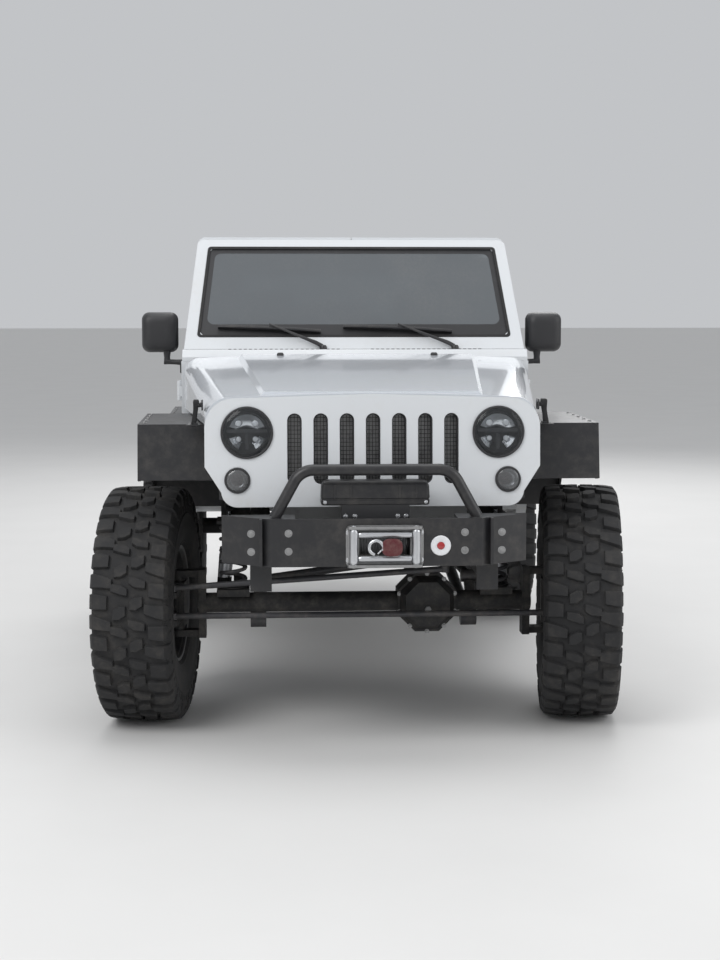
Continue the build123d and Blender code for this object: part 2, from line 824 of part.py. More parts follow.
# Grille, leaning back: outline with arched top, seven slots and the four lamp holes
lean = math.radians(grille_lean)
grille_plane = Plane(
    origin=(0, front_y + grille_y, grille_z),
    x_dir=(1, 0, 0),
    z_dir=(0, -math.cos(lean), math.sin(lean)),
)
with BuildPart() as grille:
    with BuildSketch(grille_plane):
        with BuildLine():
            tall = grille_top - grille_z
            Line((0, 0), (grille_foot - 60, 0))
            TangentArc((grille_foot - 60, 0), (grille_foot, 55), tangent=(1, 0))
            Line((grille_foot, 55), (grille_half, 150))
            Line((grille_half, 150), (grille_half, tall - 125))
            TangentArc((grille_half, tall - 125), (grille_half - 110, tall - 15), tangent=(0, 1))
            Line((grille_half - 110, tall - 15), (0, tall))
            mirror(about=Plane.YZ)
        make_face()
        with Locations((0, (slot_low + slot_high) / 2 - grille_z)):
            with GridLocations(slot_pitch, 0, slot_count, 1):
                SlotOverall(slot_high - slot_low, slot_w, rotation=90, mode=Mode.SUBTRACT)
        for side in (1, -1):
            with Locations((side * headlamp_x, headlamp_z - grille_z)):
                Circle(headlamp_r + seat_gap, mode=Mode.SUBTRACT)
            with Locations((side * turn_x, turn_z - grille_z)):
                Circle(turn_r + seat_gap, mode=Mode.SUBTRACT)
    extrude(amount=-grille_t)
grille.part.label = "grille"
export_step(grille.part, "parts/grille.step")

# Head lamps and turn lamps: bowl behind the grille, domed lens in front
lamp_rows = [
    (headlamp_x, headlamp_z, headlamp_r, 80, 22),
    (turn_x, turn_z, turn_r, 55, 12),
]
with BuildPart() as front_lamps:
    for lamp_x, lamp_z, lamp_r, depth, dome in lamp_rows:
        for side in (1, -1):
            centre = grille_plane.from_local_coords(Vector(side * lamp_x, lamp_z - grille_z, 0))
            lamp_plane = Plane(origin=centre, x_dir=(1, 0, 0), z_dir=grille_plane.z_dir)
            with BuildSketch(Plane(origin=centre, x_dir=(1, 0, 0), z_dir=-grille_plane.y_dir)):
                with BuildLine():
                    Line((0, -depth), (lamp_r * 0.5, -depth))
                    Line((lamp_r * 0.5, -depth), (lamp_r * 0.86, -grille_t - 2))
                    Line((lamp_r * 0.86, -grille_t - 2), (lamp_r, -grille_t + 8))
                    Line((lamp_r, -grille_t + 8), (lamp_r, 8))
                    Line((lamp_r, 8), (lamp_r - 9, 8))
                    dome_r = ((lamp_r - 9) ** 2 + (dome - 8) ** 2) / (2 * (dome - 8))
                    RadiusArc((lamp_r - 9, 8), (0, dome), -dome_r)
                    Line((0, dome), (0, -depth))
                make_face()
            revolve(axis=Axis(centre, grille_plane.z_dir))
front_lamps.part.label = "front_lamps"
export_step(front_lamps.part, "parts/front_lamps.step")



def grille_back(z):
    """Place along the car of the grille's back face at a height."""
    return grille_y + grille_t / math.cos(lean) + (z - grille_z) * math.tan(lean)


# Hood: arched panel with side skirts and a raised middle, lofted from its two end sections
hood_front = grille_back(grille_top) + panel_gap
hood_rows = [
    (hood_front, grille_half, 1325, 90, 15),
    (hood_rear, body_half - 12, 1436, 70, 14),
]


def hood_section(y, half_w, side_z, corner_r, crown, inset=0, drop=0):
    """Arch across the hood: upright skirts, rounded shoulders and a slightly crowned top."""
    w, top, r = half_w - inset, side_z - inset, corner_r - inset
    with BuildSketch(Plane.XZ.offset(-front_y - y)) as section:
        with BuildLine():
            Line((-w, hood_skirt_z - drop), (-w, top - r))
            TangentArc((-w, top - r), (-w + r, top), tangent=(0, 1))
            ThreePointArc((-w + r, top), (0, top + crown), (w - r, top))
            TangentArc((w - r, top), (w, top - r), tangent=(1, 0))
            Line((w, top - r), (w, hood_skirt_z - drop))
            Line((w, hood_skirt_z - drop), (-w, hood_skirt_z - drop))
        make_face()
    return section.sketch


def hood_bulge(y, half_w, top, height):
    """Raised middle of the hood at one place along it."""
    with BuildSketch(Plane.XZ.offset(-front_y - y)) as section:
        with BuildLine():
            Polyline(
                (-half_w, top - 12),
                (-half_w + 26, top + height),
                (half_w - 26, top + height),
                (half_w, top - 12),
                close=True,
            )
        make_face()
    return section.sketch


with BuildPart() as hood:
    loft([hood_section(*row) for row in hood_rows])
    loft(
        [
            hood_bulge(hood_front + 12, 430, 1333, 12),
            hood_bulge(hood_rear - 60, 520, 1441, 12),
        ]
    )
    (front_row, rear_row) = hood_rows
    hollow = [
        hood_section(front_row[0] - 1, *front_row[1:], inset=hood_t, drop=1),
        hood_section(rear_row[0] + 1, *rear_row[1:], inset=hood_t, drop=1),
    ]
    loft(hollow, mode=Mode.SUBTRACT)
    tab_front, tab_rear = hood_rear - 12, cowl_front - seat_gap
    for side in (1, -1):
        with Locations((side * hood_tab_x, front_y + (tab_front + tab_rear) / 2, hood_tab_z)):
            Box(44, tab_rear - tab_front, 12)
hood.part.label = "hood"
export_step(hood.part, "parts/hood.step")

# Fenders: flat plate over each wheel with a turned-down lip, and the inner apron in front
fender_path = [(-356, 1002), (-322, fender_z), (300, fender_z), (cowl_front - 20, 790)]
arch_path = [
    (-arch_half, cargo_z - 60),
    (-arch_half, cargo_z - 40),
    (-arch_half + arch_slope, arch_top_z),
    (arch_half - arch_slope, arch_top_z),
    (arch_half, cargo_z - 40),
    (arch_half, cargo_z - 60),
]


def plate_band(axle_y, path, thickness, side=Side.LEFT):
    """Bent plate seen from the side: the path and its offset, upwards or else down, closed."""
    with BuildSketch(Plane.YZ) as band:
        with BuildLine():
            run = Polyline(*[(axle_y + y, z) for y, z in path])
            offset(run, amount=thickness, kind=Kind.INTERSECTION, side=side)
        make_face()
    return band.sketch


with BuildPart() as fenders:
    plate = plate_band(front_y, fender_path, fender_t)
    extrude(plate.moved(Location((apron_x, 0, 0))), amount=fender_half - apron_x)
    lip = plate_band(front_y, fender_path, 30, Side.RIGHT)
    extrude(lip.moved(Location((fender_half - 10, 0, 0))), amount=10)
    with BuildSketch(Plane.YZ.offset(apron_x)):
        with BuildLine():
            Polyline(
                (front_y + grille_back(apron_low) + seat_gap, apron_low),
                (front_y + cowl_front, apron_low),
                (front_y + cowl_front, fender_z),
                (front_y + grille_back(fender_z) + seat_gap, fender_z),
                close=True,
            )
        make_face()
    extrude(amount=apron_t)
    rear_plate = plate_band(rear_y, arch_path, fender_t)
    extrude(rear_plate.moved(Location((body_half, 0, 0))), amount=fender_half - body_half)
    rear_lip = plate_band(rear_y, arch_path, 24, Side.RIGHT)
    extrude(rear_lip.moved(Location((fender_half - 10, 0, 0))), amount=10)
    mirror(about=Plane.YZ)
fenders.part.label = "fenders"
export_step(fenders.part, "parts/fenders.step")

# Windscreen frame on its slanted plane, cut level where it meets the cowl
screen_tilt = math.radians(screen_angle)
screen_plane = Plane(
    origin=(0, front_y + screen_y, screen_z),
    x_dir=(1, 0, 0),
    z_dir=(0, -math.cos(screen_tilt), math.sin(screen_tilt)),
)
screen_half_low = body_half_at(screen_z) - 4
screen_half_high = body_half_at(screen_z + screen_rise * math.cos(screen_tilt)) - 4
screen_border = (64, 54, 41)


def screen_outline(low, side, high, corner):
    """Trapezoid of the windscreen, smaller by borders at its foot, sides and head."""
    slope = (screen_half_low - screen_half_high) / screen_rise
    with BuildSketch(screen_plane) as outline:
        with BuildLine():
            half_low = screen_half_low - side - low * slope
            half_high = screen_half_high - side + high * slope
            Polyline(
                (-half_low, low),
                (half_low, low),
                (half_high, screen_rise - high),
                (-half_high, screen_rise - high),
                close=True,
            )
        make_face()
        upper = outline.vertices().group_by(Axis.Z)[-1]
        fillet(upper, corner)
    return outline.sketch


border_low, border_side, border_high = screen_border
with BuildPart() as windshield_frame:
    extrude(screen_outline(-30, 0, 0, 30), amount=-screen_t)
    extrude(screen_outline(border_low, border_side, border_high, 40), amount=-screen_t, mode=Mode.SUBTRACT)
    split(bisect_by=Plane.XY.offset(screen_z + seat_gap), keep=Keep.TOP)
windshield_frame.part.label = "windshield_frame"
export_step(windshield_frame.part, "parts/windshield_frame.step")

screen_head_y = screen_y + screen_rise * math.sin(screen_tilt)

# Hard top: roof and walls over the rear, a shell with quarter and rear window openings
top_front = door_rear + 25
top_rear = tub_rear - 6
top_rear_lean = 45
top_corner = 60
roof_half = body_half_at(roof_z)
window_low = belt_z + 80
window_high = roof_z - 136
quarter_window = [
    (door_rear + 150, window_low),
    (door_rear + 150, window_high),
    (tub_rear - 184, window_high),
    (tub_rear - 154, window_low),
]
back_window = [(-540, window_low), (-508, window_high), (508, window_high), (540, window_low)]


def top_block(inset, front, foot_z):
    """The hard top's outer block, or the hollow inside it when inset."""
    levels = []
    for z, lean_in in ((foot_z, 0), (roof_z - inset, top_rear_lean)):
        half = body_half_at(z) - inset
        rear = front_y + top_rear - lean_in - inset
        with BuildSketch(Plane.XY.offset(z)) as level:
            with BuildLine():
                Polyline(
                    (-half, front_y + front),
                    (half, front_y + front),
                    (half, rear),
                    (-half, rear),
                    close=True,
                )
            make_face()
            fillet(level.vertices().group_by(Axis.Y)[-1], top_corner - inset)
        levels.append(level.sketch)
    return levels


def window_prism(plane, points, corner, margin):
    """Outline of a window opening, smaller by a margin, with rounded corners."""
    with BuildSketch(plane) as outline:
        with BuildLine():
            Polyline(*points, close=True)
        make_face()
        fillet(outline.vertices(), corner)
        if margin:
            offset(amount=-margin)
    return outline.sketch


def quarter_prism(margin):
    """The quarter window's outline on the car's middle plane."""
    points = [(front_y + y, z) for y, z in quarter_window]
    return window_prism(Plane.YZ, points, 45, margin)


def back_prism(margin):
    """The rear window's outline on a plane across the car inside the hard top."""
    return window_prism(Plane.XZ.offset(-front_y - top_rear + 200), back_window, 45, margin)


top_foot = belt_z + seat_gap
with BuildPart() as hardtop:
    loft(top_block(0, top_front, top_foot))
    roof_edges = hardtop.edges().group_by(Axis.Z)[-1].sort_by(Axis.Y)[1:]
    fillet(roof_edges, 40)
    loft(top_block(skin_t, top_front - 1, top_foot - 1), mode=Mode.SUBTRACT)
    extrude(quarter_prism(0), amount=body_half, both=True, mode=Mode.SUBTRACT)
    extrude(back_prism(0), amount=-260, mode=Mode.SUBTRACT)
hardtop.part.label = "hardtop"
export_step(hardtop.part, "parts/hardtop.step")

# Removable roof panels over the front seats, a pair that meets on the centre line
panel_front = screen_head_y + screen_t / math.cos(screen_tilt) - 8
panel_rear = top_front - seat_gap
with BuildPart() as roof_panels:
    with BuildSketch(Plane.XZ.offset(-front_y - panel_rear)):
        with BuildLine():
            half_low = body_half_at(roof_z - roof_side_drop) - 2
            Polyline(
                (2, roof_z - roof_t),
                (half_low - 50, roof_z - roof_t),
                (half_low - 40, roof_z - roof_side_drop),
                (half_low, roof_z - roof_side_drop),
                (roof_half, roof_z),
                (2, roof_z),
                close=True,
            )
        make_face()
    extrude(amount=panel_rear - panel_front)
    outer_edge = roof_panels.edges().filter_by(Axis.Y).sort_by(lambda e: e.center().X + e.center().Z)[-1]
    fillet(outer_edge, 40)
    mirror(about=Plane.YZ)
roof_panels.part.label = "roof_panels"
export_step(roof_panels.part, "parts/roof_panels.step")

# Fixed glass: windscreen, both quarter windows and the rear window
glass_inset = 6
with BuildPart() as quarter_glass:
    loft(top_block(glass_inset, top_front + 10, top_foot + 20))
    loft(top_block(glass_inset + glass_t, top_front + 9, top_foot + 19), mode=Mode.SUBTRACT)
    extrude(quarter_prism(seat_gap), amount=body_half, both=True, mode=Mode.INTERSECT)
with BuildPart() as back_glass:
    loft(top_block(glass_inset, top_front + 10, top_foot + 20))
    loft(top_block(glass_inset + glass_t, top_front + 9, top_foot + 19), mode=Mode.SUBTRACT)
    extrude(back_prism(seat_gap), amount=-260, mode=Mode.INTERSECT)
with BuildPart() as fixed_glass:
    add(quarter_glass.part)
    add(back_glass.part)
    pane = screen_outline(border_low + seat_gap, border_side + seat_gap, border_high + seat_gap, 40)
    pane_shift = screen_plane.z_dir * -glass_inset
    extrude(pane.moved(Location(pane_shift)), amount=-glass_t, dir=screen_plane.z_dir)
fixed_glass.part.label = "fixed_glass"
export_step(fixed_glass.part, "parts/fixed_glass.step")

# Left door: whole thickness below the belt, a slimmer leaning frame round its window above
door_frame_t = 34
door_frame_w = 52


def door_window(margin):
    """The door window's outline, inside the frame, smaller by a margin."""
    low, high = belt_z + 28, door_top_z - door_frame_w
    points = [
        (pillar_at(low) + door_frame_w + 12, low),
        (pillar_at(high) + door_frame_w + 12, high),
        (front_y + door_rear - door_frame_w, high),
        (front_y + door_rear - door_frame_w, low),
    ]
    return window_prism(Plane.YZ, points, 24, margin)


def wall_slice(thickness, low, high, inset, outline):
    """A panel of the left wall: its cross-section run along the car, cut to a side outline."""
    run = door_rear - door_front + 400
    with BuildPart() as panel:
        section = wall_section(front_y + door_rear + 100, thickness, low, high, inset)
        extrude(section, amount=run)
        extrude(outline, amount=2 * body_half, mode=Mode.INTERSECT)
    return panel.part


with BuildPart() as door_left:
    add(wall_slice(wall_t, door_sill_z - 1, belt_z, 0, door_outline(0, door_top_z)))
    add(wall_slice(door_frame_t, belt_z, door_top_z + 1, 0, door_outline(0, door_top_z)))
    extrude(door_window(0), amount=2 * body_half, mode=Mode.SUBTRACT)
    for z in hinge_rows:
        for end in (1, -1):
            ear_z = z + end * (knuckle_h / 2 + 10 + seat_gap)
            with Locations((hinge_x, front_y + hinge_y, ear_z)):
                Cylinder(hinge_r, 20)
            with Locations((body_half + 4, front_y + hinge_y + 50, ear_z)):
                Box(8, 84, 20)
            with Locations((body_half + 8, front_y + hinge_y + 5, ear_z)):
                Box(14, 10, 20)
door_left.part.label = "door_left"
export_step(door_left.part, "parts/door_left.step")
door_right = mirror(door_left.part, about=Plane.YZ)
door_right.label = "door_right"
export_step(door_right, "parts/door_right.step")

door_glass = wall_slice(glass_t, belt_z + 5, door_top_z, 14, door_window(seat_gap))
door_glass.label = "door_glass_left"
export_step(door_glass, "parts/door_glass_left.step")
door_glass_right = mirror(door_glass, about=Plane.YZ)
door_glass_right.label = "door_glass_right"
export_step(door_glass_right, "parts/door_glass_right.step")

# Mirrors: foot on the door, arm, and head
mirror_y = door_front + 120
with BuildPart() as mirror_left:
    with Locations((body_half + 7, front_y + mirror_y, belt_z - 30)):
        Box(14, 90, 60)
    with Locations((body_half + 47, front_y + mirror_y, belt_z - 10)):
        Box(90, 46, 30)
    with Locations((body_half + 72, front_y + mirror_y, belt_z + 18)):
        Box(34, 40, 60)
    with BuildSketch(Plane.XZ.offset(-front_y - mirror_y - 35)):
        with Locations((body_half + 103, belt_z + 121)):
            RectangleRounded(162, 178, 34)
    extrude(amount=78, taper=5)
mirror_left.part.label = "mirror_left"
export_step(mirror_left.part, "parts/mirror_left.step")
mirror_right = mirror(mirror_left.part, about=Plane.YZ)
mirror_right.label = "mirror_right"
export_step(mirror_right, "parts/mirror_right.step")

# Roll cage: main hoop, side bars to the windscreen and rear legs to the wheel housings
cage_r = 24
cage_half = body_half - 157
cage_top = roof_z - 105
hoop_y = front_y + door_rear + 5
with BuildPart() as roll_cage:
    with BuildLine() as hoop_line:
        FilletPolyline(
            (-cage_half, hoop_y, floor_z + floor_t + seat_gap),
            (-cage_half, hoop_y, cage_top),
            (cage_half, hoop_y, cage_top),
            (cage_half, hoop_y, floor_z + floor_t + seat_gap),
            radius=110,
        )
    with BuildSketch(Plane(origin=hoop_line.line @ 0, z_dir=hoop_line.line % 0)):
        Circle(cage_r)
    sweep(path=hoop_line.line)
    for side in (1, -1):
        bar_x = side * (cage_half - 30)
        bar, reach = beam(
            (bar_x, hoop_y, cage_top - 20),
            (bar_x, front_y + screen_head_y + 75, cage_top - 20),
            cage_r,
        )
        extrude(bar, amount=reach)
        leg_foot = (side * (cage_half + 26), rear_y + 200, arch_top_z + housing_t - 5)
        leg, reach = beam((side * (cage_half - 8), hoop_y, cage_top - 120), leg_foot, cage_r)
        extrude(leg, amount=reach)
        with Locations((leg_foot[0], leg_foot[1], arch_top_z + housing_t + seat_gap - 50)):
            Box(110, 240, 100, mode=Mode.SUBTRACT)
roll_cage.part.label = "roll_cage"
export_step(roll_cage.part, "parts/roll_cage.step")

# Seats: outline from the side, run across; the front pair and the rear bench
seat_in = tunnel_w / 2 + 30
seat_out = body_half - 192
seat_x = (seat_in + seat_out) / 2
seat_half = (seat_out - seat_in) / 2
bench_half = body_half - 222


def seat_profile(plane, y, foot_z, back_h):
    """Cushion and backrest in one outline, with its foot on the floor."""
    with BuildSketch(plane) as profile:
        with BuildLine():
            Polyline(
                (y, foot_z),
                (y - 20, foot_z + 300),
                (y, foot_z + 345),
                (y + 380, foot_z + 300),
                (y + 500, foot_z + back_h),
                (y + 600, foot_z + back_h),
                (y + 520, foot_z + 190),
                (y + 470, foot_z),
                close=True,
            )
        make_face()
        fillet(profile.vertices().filter_by(lambda v: v.Z > foot_z + 100), 30)
    return profile.sketch


with BuildPart() as seats:
    front_floor = floor_z + floor_t + seat_gap
    for side in (1, -1):
        profile = seat_profile(Plane.YZ.offset(side * seat_x), front_y + 1160, front_floor, 790)
        extrude(profile, amount=seat_half, both=True)
        with Locations((side * seat_x, front_y + 1715, front_floor + 860)):
            Box(270, 80, 180)
    bench = seat_profile(Plane.YZ, rear_y - 430, cargo_z + seat_gap, 640)
    extrude(bench, amount=bench_half, both=True)
seats.part.label = "seats"
export_step(seats.part, "parts/seats.step")

# Dashboard with its middle bracket on the tunnel, and the steering column
dash_y = cowl_front + panel_t / 2 + seat_gap
dash_low = 1120
column_start = (seat_x, front_y + dash_y + 200, 1255)
column_end = (seat_x, front_y + dash_y + 430, 1335)
column_way = (Vector(*column_end) - Vector(*column_start)).normalized()
with BuildPart() as dashboard:
    with BuildSketch(Plane.YZ):
        with BuildLine():
            Polyline(
                (front_y + dash_y, dash_low),
                (front_y + dash_y, belt_z - 6),
                (front_y + dash_y + 260, belt_z - 6),
                (front_y + dash_y + 330, belt_z - 60),
                (front_y + dash_y + 290, dash_low),
                close=True,
            )
        make_face()
    extrude(amount=inner_half - 8, both=True)
    bracket_low = floor_z + tunnel_h + seat_gap
    with Locations((0, front_y + dash_y + 190, (bracket_low + dash_low + 1) / 2)):
        Box(220, 200, dash_low + 1 - bracket_low)
    column, reach = beam(column_start, column_end, 30)
    extrude(column, amount=reach)
dashboard.part.label = "dashboard"
export_step(dashboard.part, "parts/dashboard.step")

# Steering wheel on its raked column: rim, hub and four spokes
wheel_reach = 42
wheel_plane = Plane(
    origin=Vector(*column_end) + column_way * wheel_reach, x_dir=(1, 0, 0), z_dir=column_way
)
with BuildPart() as steering_wheel:
    with BuildSketch(wheel_plane.offset(-12)):
        Circle(190)
        Circle(160, mode=Mode.SUBTRACT)
        Circle(52)
        for angle in (0, 60, 120, 180):
            turned = angle + steer_at_rest * steering_ratio
            with PolarLocations(106, 1, start_angle=turned):
                Rectangle(116, 30)
    extrude(amount=24)
    with BuildSketch(wheel_plane.offset(-12)):
        Circle(26)
    extrude(amount=12 + seat_gap - wheel_reach)
steering_wheel.part.label = "steering_wheel"
export_step(steering_wheel.part, "parts/steering_wheel.step")

# Front bumper: bent plate channel open to the rear, hoop on top, brackets to the rails
bumper_plan = [
    (-bumper_half, bumper_face + 125),
    (-bumper_half + 180, bumper_face),
    (bumper_half - 180, bumper_face),
    (bumper_half, bumper_face + 125),
]
with BuildPart() as front_bumper:
    with BuildSketch(Plane.XY.offset(bumper_low)):
        with BuildLine():
            front_edge = [(x, front_y + y) for x, y in bumper_plan]
            Polyline(
                *front_edge,
                (bumper_half, front_y + bumper_back),
                (-bumper_half, front_y + bumper_back),
                close=True,
            )
        make_face()
    extrude(amount=bumper_high - bumper_low)
    with BuildSketch(Plane.XY.offset(bumper_low + bumper_t)):
        with BuildLine():
            inner_edge = [(x * 0.985, front_y + y + bumper_t) for x, y in bumper_plan]
            Polyline(
                *inner_edge,
                (bumper_half * 0.985, front_y + bumper_back + 1),
                (-bumper_half * 0.985, front_y + bumper_back + 1),
                close=True,
            )
        make_face()
    extrude(amount=bumper_high - bumper_low - 2 * bumper_t, mode=Mode.SUBTRACT)
    with Locations((0, front_y + (bumper_face + bumper_back) / 2 + bumper_t, bumper_high)):
        Box(590, bumper_back - bumper_face, 3 * bumper_t, mode=Mode.SUBTRACT)
    with Locations((fairlead_x, front_y + bumper_face, winch_z)):
        Box(2 * fairlead_half, 4 * bumper_t, 2 * fairlead_rise, mode=Mode.SUBTRACT)
    bumper_y = front_y + (bumper_face + bumper_back) / 2
    for side in (1, -1):
        with Locations((side * rail_x, bumper_y, (bumper_low + bumper_high) / 2)):
            Box(10, bumper_back - bumper_face, bumper_high - bumper_low - 2)
        bracket_front, bracket_rear = bumper_back - 10, rail_front - seat_gap
        with Locations((side * rail_x, front_y + (bracket_front + bracket_rear) / 2, bumper_low - 15)):
            Box(rail_w, bracket_rear - bracket_front, 190)
    with BuildLine() as hoop_path:
        hoop_line_y = front_y + bumper_face + 45
        FilletPolyline(
            (-hoop_foot, hoop_line_y, bumper_high),
            (-hoop_head, hoop_line_y, hoop_top_z),
            (hoop_head, hoop_line_y, hoop_top_z),
            (hoop_foot, hoop_line_y, bumper_high),
            radius=80,
        )
    with BuildSketch(Plane(origin=hoop_path.line @ 0, z_dir=hoop_path.line % 0)):
        Circle(hoop_r)
    sweep(path=hoop_path.line)
front_bumper.part.label = "front_bumper"
export_step(front_bumper.part, "parts/front_bumper.step")

# Winch: motor, gear end, drum and tie bars on the tray, control box above, roller fairlead
with BuildPart() as winch:
    winch_at = front_y + winch_y
    for x0, x1, r in ((-270, -120, 52), (120, 270, 58), (-120, 120, 30), (-112, 112, drum_r)):
        body, reach = beam((x0, winch_at, winch_z + 4), (x1, winch_at, winch_z + 4), r)
        extrude(body, amount=reach)
    plate_low, plate_high = bumper_low + bumper_t + seat_gap, winch_z + 69
    for side in (1, -1):
        with Locations((side * 126, winch_at, (plate_low + plate_high) / 2)):
            Box(14, 106, plate_high - plate_low)
    bar, reach = beam((-126, winch_at + 30, winch_z + 62), (126, winch_at + 30, winch_z + 62), 8)
    extrude(bar, amount=reach)
    with Locations((0, winch_at + 22, winch_z + 98)):
        Box(250, 30, 90)
    with Locations((0, winch_at + 44, winch_z + 185)):
        Box(400, 78, 92)
    fillet(winch.edges().filter_by(Axis.Z).group_by(Axis.Z)[-1], 14)
    with BuildSketch(Plane.XZ.offset(-front_y - bumper_face + seat_gap)):
        with Locations((fairlead_x, winch_z)):
            RectangleRounded(2 * fairlead_half + 96, 2 * fairlead_rise + 52, 20)
            Rectangle(2 * fairlead_half, 2 * fairlead_rise, mode=Mode.SUBTRACT)
    extrude(amount=6)
    roller_y = front_y + bumper_face - seat_gap - 4 - roller_r
    upright_x = fairlead_half + roller_r + 4
    level_r = roller_r - 4
    for end in (1, -1):
        with Locations((fairlead_x, roller_y + 1, winch_z + end * (fairlead_rise + 20))):
            Box(2 * upright_x + 46, 2 * roller_r + 2, 10)
        with Locations((fairlead_x + end * upright_x, roller_y, winch_z)):
            Cylinder(roller_r, 2 * fairlead_rise + 32)
        level_z = winch_z + end * (fairlead_rise - level_r + 6)
        level_start = (fairlead_x - upright_x, roller_y, level_z)
        level_end = (fairlead_x + upright_x, roller_y, level_z)
        level, reach = beam(level_start, level_end, level_r)
        extrude(level, amount=reach)
    hook_y = roller_y - roller_r - 2
    rope, reach = beam((fairlead_x, winch_at, winch_z), (fairlead_x, hook_y, winch_z), rope_r)
    extrude(rope, amount=reach)
    with BuildSketch(Plane.XZ.offset(-hook_y)):
        with Locations((fairlead_x + 24, winch_z)):
            RectangleRounded(76, 64, 26)
    extrude(amount=12)
    with BuildSketch(Plane.XZ.offset(-hook_y - 2)):
        with Locations((fairlead_x - 34, winch_z)):
            Circle(33)
            Circle(17, mode=Mode.SUBTRACT)
            with Locations((22, -22)):
                Rectangle(26, 12, rotation=-45, mode=Mode.SUBTRACT)
    extrude(amount=12)
winch.part.label = "winch"
export_step(winch.part, "parts/winch.step")

# Rear bumper with the square hitch receiver in its middle and the pin hole across it
receiver_end = front_y + tub_rear + 112
with BuildPart() as rear_bumper:
    with BuildSketch(Plane.XY.offset(rear_bumper_z)):
        with BuildLine():
            Polyline(
                (-body_half, front_y + tub_rear - 60),
                (-body_half + 20, front_y + tub_rear + 55),
                (-body_half + 160, front_y + tub_rear + 85),
                (body_half - 160, front_y + tub_rear + 85),
                (body_half - 20, front_y + tub_rear + 55),
                (body_half, front_y + tub_rear - 60),
                (body_half - 30, front_y + tub_rear - 60),
                (body_half - 60, front_y + tub_rear + 16),
                (-body_half + 60, front_y + tub_rear + 16),
                (-body_half + 30, front_y + tub_rear - 60),
                close=True,
            )
        make_face()
    extrude(amount=rear_bumper_h)
    with BuildSketch(Plane.XZ.offset(-receiver_end)):
        with Locations((0, rear_bumper_z + 40)):
            Rectangle(receiver_w, receiver_w)
    extrude(amount=230)
    with BuildSketch(Plane.XZ.offset(-receiver_end)):
        with Locations((0, rear_bumper_z + 40)):
            Rectangle(receiver_bore, receiver_bore)
    extrude(amount=200, mode=Mode.SUBTRACT)
    with Locations(Plane(origin=(0, receiver_end - 14, rear_bumper_z + 40), z_dir=(1, 0, 0))):
        Hole(hitch_pin_r)
    for side in (1, -1):
        bracket_front, bracket_rear = rear_y + rail_rear + seat_gap, front_y + tub_rear + 20
        with Locations((side * rail_x, (bracket_front + bracket_rear) / 2, rear_bumper_z + 100)):
            Box(rail_w, bracket_rear - bracket_front, 110)
rear_bumper.part.label = "rear_bumper"
export_step(rear_bumper.part, "parts/rear_bumper.step")

# Coil springs between axle perches and frame: place across, along, foot, head, radius
spring_rows = [
    (spring_x, front_y, tyre_r + 60, front_rail_top - 12, spring_r),
    (rail_x, rear_y, tyre_r + 60, rail_z + arch_rise + 20, spring_r),
]
with BuildPart() as coil_springs:
    for spring_x, spring_y, foot_z, head_z, r in spring_rows:
        for side in (1, -1):
            foot = (side * spring_x, spring_y, foot_z + seat_gap)
            head = (side * spring_x, spring_y, head_z - seat_gap)
            section, reach = beam(foot, head, r)
            extrude(section, amount=reach)
            section, reach = beam(foot, head, r - 14)
            extrude(section, amount=reach, mode=Mode.SUBTRACT)
coil_springs.part.label = "coil_springs"
export_step(coil_springs.part, "parts/coil_springs.step")

# Shock absorbers, body below and rod above: lower eye and upper eye of the left ones
shock_rows = [
    ((shock_x, front_y + 112, shock_low_z), (shock_x - 30, front_y + 112, 850)),
    ((rear_shock_x, rear_y + 118, rear_shock_low_z), (320, rear_y + 140 - seat_gap, 760)),
]
with BuildPart() as shock_absorbers:
    for low_eye, high_eye in shock_rows:
        low_end, high_end = Vector(*low_eye), Vector(*high_eye)
        along = (high_end - low_end).normalized()
        body, reach = beam(low_end + along * 34, low_end + (high_end - low_end) * 0.58, 29)
        extrude(body, amount=reach)
        rod, reach = beam(low_end, high_end, 11)
        extrude(rod, amount=reach)
        for eye in (low_end, high_end):
            section, reach = beam(eye - Vector(0, 20, 0), eye + Vector(0, 20, 0), 22)
            extrude(section, amount=reach)
    mirror(about=Plane.YZ)
shock_absorbers.part.label = "shock_absorbers"
export_step(shock_absorbers.part, "parts/shock_absorbers.step")

# Control arms and track bars
bar_rows = [
    ((-spring_x + 20, front_y + 108, 548), (355, front_y + 108, 650), 17),
    ((rail_x - 25, rear_y + 135, 540), (-355, rear_y + 135, 600), 17),
]
with BuildPart() as suspension_links:
    for start, end, r in arm_rows:
        section, reach = beam(start, end, r)
        extrude(section, amount=reach)
        for eye in (start, end):
            section, reach = beam(
                Vector(*eye) - Vector(arm_eye_half, 0, 0),
                Vector(*eye) + Vector(arm_eye_half, 0, 0),
                r + arm_eye_t,
            )
            extrude(section, amount=reach)
    mirror(about=Plane.YZ)
    for start, end, r in bar_rows:
        section, reach = beam(start, end, r)
        extrude(section, amount=reach)
suspension_links.part.label = "suspension_links"
export_step(suspension_links.part, "parts/suspension_links.step")

# Drive shafts from the transfer case to both axles, with a joint at each end
joint_r = 44
shaft_seat = joint_r + seat_gap
shaft_low, shaft_high = tyre_r + 20, 690
shaft_rows = [
    ((diff_x, front_y + front_pinion + shaft_seat, shaft_low), (167, front_y + case_front - shaft_seat, shaft_high)),
    ((0, rear_y - rear_pinion - shaft_seat, shaft_low), (0, front_y + case_rear + shaft_seat, shaft_high)),
]
with BuildPart() as driveshafts:
    for start, end in shaft_rows:
        section, reach = beam(start, end, 32)
        extrude(section, amount=reach)
        for eye in (start, end):
            with Locations(eye):
                Sphere(joint_r)
driveshafts.part.label = "driveshafts"
export_step(driveshafts.part, "parts/driveshafts.step")

